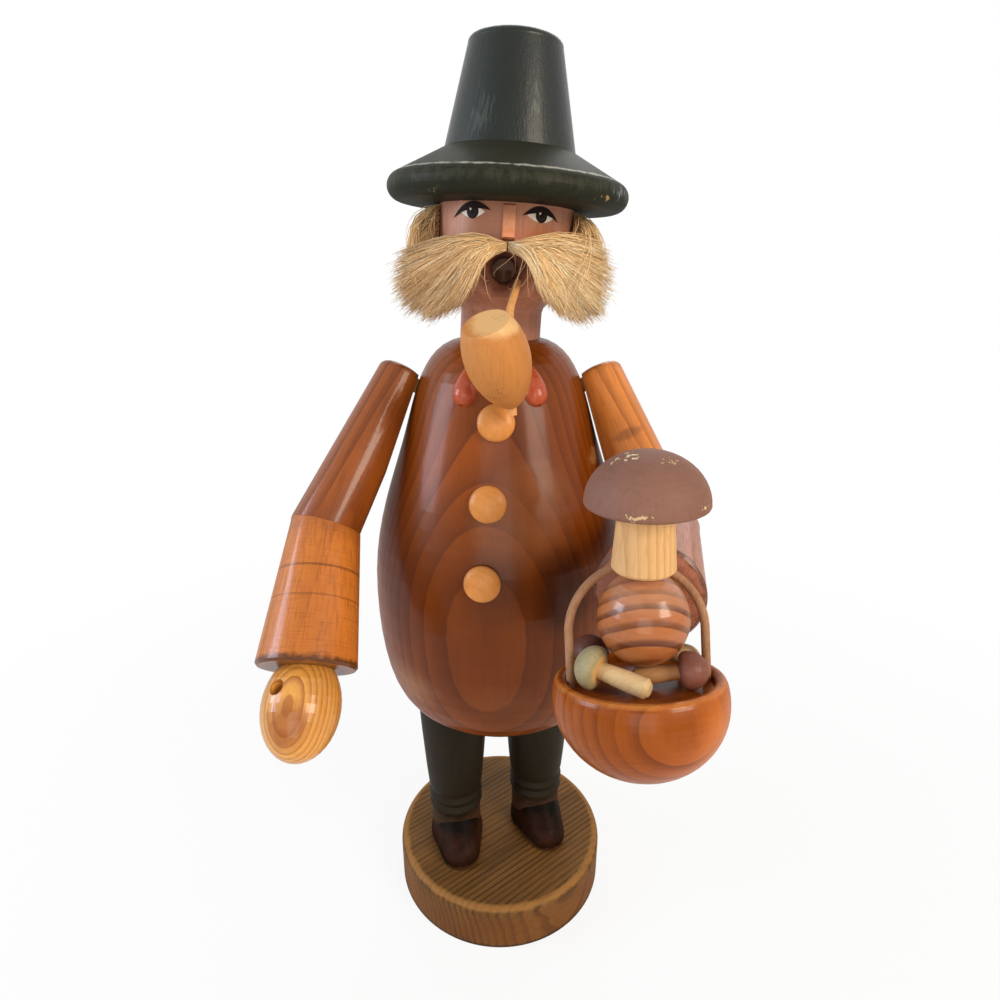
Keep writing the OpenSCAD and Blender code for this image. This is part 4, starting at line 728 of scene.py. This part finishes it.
def furMesh(name, control, width, tint, bodyNodes):
    count = len(control)
    rings = furLook["rings"]
    t = np.linspace(0, 1, rings)[None, :, None]
    p = [control[:, None, i, :] for i in range(4)]
    path = p[0] * (1 - t) ** 3 + 3 * p[1] * t * (1 - t) ** 2 + 3 * p[2] * t ** 2 * (1 - t) + p[3] * t ** 3
    ripple = random.normal(0, 1, (count, 1, 3))
    ripple = ripple * np.sin(t * random.uniform(4, 9, (count, 1, 1)) + random.uniform(0, 6, (count, 1, 1)))
    path = path + ripple * furLook["ripple"] * t
    # No strand enters the head or the brim
    reach = np.hypot(path[..., 0], path[..., 1])
    least = headRadius + furLook["skinGap"]
    push = np.where((reach < least) & (path[..., 2] > furLook["chin"]), least / np.maximum(reach, 1e-6), 1.0)
    path[..., 0] *= push
    path[..., 1] *= push
    path[..., 2] = np.minimum(path[..., 2], furLook["brim"])
    direction = np.gradient(path, axis=1)
    direction /= np.linalg.norm(direction, axis=2, keepdims=True) + 1e-9
    outward = path * np.array([1, 1, 0]) + 1e-6
    outward = outward / np.linalg.norm(outward, axis=2, keepdims=True)
    across = np.cross(direction, outward)
    across /= np.linalg.norm(across, axis=2, keepdims=True) + 1e-9
    over = np.cross(across, direction)
    radius = width[:, None] * (furLook["rootWidth"] + (furLook["tipWidth"] - furLook["rootWidth"]) * t[0, :, 0] ** 1.5)
    # Each strand is a thin three-sided tube with closed ends
    corners = []
    for k in range(3):
        angle = 2 * math.pi * k / 3
        corners.append(path + radius[..., None] * (math.cos(angle) * across + math.sin(angle) * over))
    points = np.stack(corners, axis=2).reshape(-1, 3)
    rotation = np.array(headPlace.to_3x3())
    points = (points @ rotation.T + np.array(headPlace.translation)) * mm
    base = (np.arange(count) * rings * 3)[:, None, None]
    ring = (np.arange(rings - 1) * 3)[None, :, None]
    k = np.arange(3)[None, None, :]
    a = base + ring + k
    b = base + ring + (k + 1) % 3
    quads = np.stack([a, b, b + 3, a + 3], axis=3).reshape(-1, 4)
    ends = base[:, 0, 0]
    caps = np.concatenate([np.stack([ends + 2, ends + 1, ends], 1),
                           np.stack([ends, ends + 1, ends + 2], 1) + (rings - 1) * 3])
    mesh = bpy.data.meshes.new(name)
    mesh.vertices.add(len(points))
    mesh.vertices.foreach_set("co", points.astype(np.float32).ravel())
    loops = np.concatenate([quads.ravel(), caps.ravel()]).astype(np.int32)
    starts = np.concatenate([np.arange(len(quads)) * 4, len(quads) * 4 + np.arange(len(caps)) * 3]).astype(np.int32)
    mesh.loops.add(len(loops))
    mesh.loops.foreach_set("vertex_index", loops)
    mesh.polygons.add(len(starts))
    mesh.polygons.foreach_set("loop_start", starts)
    mesh.update(calc_edges=True)
    mesh.validate()
    shade = mesh.attributes.new("tint", "FLOAT", "POINT")
    shade.data.foreach_set("value", np.repeat(tint, rings * 3).astype(np.float32))
    length = mesh.attributes.new("along", "FLOAT", "POINT")
    length.data.foreach_set("value", np.tile(np.repeat(t[0, :, 0], 3), count).astype(np.float32))
    mesh.shade_smooth()
    piece = bpy.data.objects.new(name, mesh)
    bpy.context.scene.collection.objects.link(piece)
    piece.data.materials.append(furMaterial)
    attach(piece, "upper_body")
    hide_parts(*bodyNodes)
    return piece


# Fur: straw-coloured strands, darker at the roots, with a silky gloss
furMaterial, tree, shader = newMaterial("straw rabbit fur")
tint = addNode(tree, "Attribute", attribute_name="tint").outputs["Fac"]
along = addNode(tree, "Attribute", attribute_name="along").outputs["Fac"]
strand = addNode(tree, "ValToRGB", {"Fac": tint}, [(0.0, "#a08664"), (0.3, "#dab17c"), (0.6, "#fad398"),
                                                   (1.0, "#fff2cd")]).outputs["Color"]
rootShade = addNode(tree, "MapRange", {"Value": along, "From Max": 0.35, "To Min": 0.3, "To Max": 0.0}).outputs[0]
strand = addNode(tree, "Mix", {0: rootShade, 6: strand, 7: "#7a5a3a"}, data_type="RGBA").outputs[2]
tree.links.new(strand, shader.inputs["Base Color"])
silk = addNode(tree, "MapRange", {"Value": tint, "To Min": 0.6, "To Max": 0.4}).outputs[0]
tree.links.new(silk, shader.inputs["Roughness"])
shader.inputs["Specular IOR Level"].default_value = 0.3


moustacheLook = {
    "strands": 3400, "locks": 90, "lockSpread": 0.035, "strays": 12, "knotHeight": 28.3, "knotDepth": 2.0, "layer": 7.5,
    "puff": 6.5, "tint": 0.52,
    "rightFan": ((32, 25), (38, 11), (28, 1), (14, 10)), "leftFan": ((30, 31), (39, 16), (31, 0), (16, 12)),
}


def moustacheHalf(side, name, fan, replaced):
    count = moustacheLook["strands"]
    locks = moustacheLook["locks"]
    lock = random.integers(0, locks, count)
    lockPlace = random.uniform(0, 1, locks)
    lockTint = random.normal(0, 0.12, locks)
    spread = random.normal(0, moustacheLook["lockSpread"], count)
    a = np.clip(lockPlace[lock] + spread, 0, 1)[:, None]
    fan = [np.array(v) for v in fan]
    end = fan[0] * (1 - a) ** 3 + 3 * fan[1] * a * (1 - a) ** 2 + 3 * fan[2] * a ** 2 * (1 - a) + fan[3] * a ** 3
    a = a[:, 0]
    depth = random.uniform(0, 1, count) ** 0.8
    reach = random.beta(4, 1.8, count) * 0.55 + 0.52
    knot = np.array([0.6, -headRadius - moustacheLook["knotDepth"], moustacheLook["knotHeight"]])
    start = knot + np.stack([side * random.uniform(0.2, 2.6, count), random.uniform(-1.0, 1.0, count),
                             random.uniform(-1.3, 1.3, count)], 1)
    goal = np.empty((count, 3))
    goal[:, 0] = side * end[:, 0] * reach + random.normal(0, 0.8, count)
    goal[:, 2] = knot[2] + (end[:, 1] - knot[2]) * reach + random.normal(0, 0.8, count)
    shell = headRadius + 1.5 + moustacheLook["layer"] * depth
    goal[:, 1] = -np.sqrt(np.maximum(shell ** 2 - np.minimum(np.abs(goal[:, 0]), shell * 0.93) ** 2, 9))
    bulge = 2.5 + moustacheLook["puff"] * depth
    first = start + np.stack([side * (3 + 0.24 * end[:, 0]), -1.0 - bulge * 0.45,
                              2.6 - 3.4 * a + random.normal(0, 0.6, count)], 1)
    second = start + (goal - start) * 0.62
    second[:, 1] -= bulge * 0.62
    second[:, 2] += 3.4 * (1 - 0.75 * a) + random.normal(0, 0.9, count)
    # A few long hairs stray under the nose and over the mouth
    stray = moustacheLook["strays"]
    goal[:stray] = np.stack([side * random.uniform(-4, 17, stray), np.full(stray, -headRadius - 4),
                             random.uniform(6, 24, stray)], 1)
    second[:stray] = goal[:stray] + random.normal(0, 5, (stray, 3)) + np.array([side * 2, -5, 3])
    control = np.stack([start, first, second, goal], 1)
    tintValue = moustacheLook["tint"] + 0.2 * depth + lockTint[lock] + random.normal(0, 0.14, count)
    tintValue = tintValue - 0.2 * (side < 0) * reach ** 2
    width = random.uniform(0.8, 1.3, count)
    width[:stray] = random.uniform(0.45, 0.75, stray)
    return furMesh(name, control, width, np.clip(tintValue, 0, 1), replaced)


moustacheHalf(-1, "right_moustache_fur", moustacheLook["rightFan"], ["right_moustache"])
moustacheHalf(1, "left_moustache_fur", moustacheLook["leftFan"], ["left_moustache", "moustache_tie"])

# The hair hangs round the sides and back, from one temple angle to the other
sideHairLook = {"strands": 5200, "locks": 160, "temples": (-20, 200), "top": (31, 40), "low": (8, 13), "layer": 7.5,
                "tint": 0.4}


def sideHair():
    count = sideHairLook["strands"]
    locks = sideHairLook["locks"]
    first, last = sideHairLook["temples"]
    lock = random.integers(0, locks, count)
    lockAngle = np.sort(np.random.default_rng(5).uniform(first, last, locks))
    angle = np.radians(np.clip(lockAngle[lock] + random.normal(0, 1.6, count), first - 0.5, last + 0.5))
    tilt = np.random.default_rng(6).normal(0, 0.2, locks)[lock] + random.normal(0, 0.08, count)
    lockTint = np.random.default_rng(7).normal(0, 0.13, locks)[lock]
    depth = random.uniform(0, 1, count)
    top = random.uniform(*sideHairLook["top"], count)
    drop = random.beta(4, 2, count) * 16 + 9
    low = np.maximum(top - drop, random.uniform(*sideHairLook["low"], count))
    out = 2.0 + sideHairLook["layer"] * depth
    root = headRadius + 0.4 + random.uniform(0, 0.8, count)

    def ring(radius, turn, z):
        return np.stack([radius * np.cos(angle + turn), radius * np.sin(angle + turn), z], 1)
    control = np.stack([
        ring(root, 0, top),
        ring(root + out * 1.1, tilt * 0.3, top - 0.1 * drop),
        ring(headRadius + out * 1.2, tilt * 0.7, top + (low - top) * 0.6),
        ring(headRadius + out * 1.05 + random.normal(0, 0.7, count), tilt, low)], 1)
    tintValue = sideHairLook["tint"] + 0.22 * depth + lockTint + random.normal(0, 0.12, count)
    width = random.uniform(0.9, 1.5, count)
    return furMesh("side_and_back_hair", control, width, np.clip(tintValue, 0, 1), ["hair_band"])


sideHair()
print("the fur is laid")
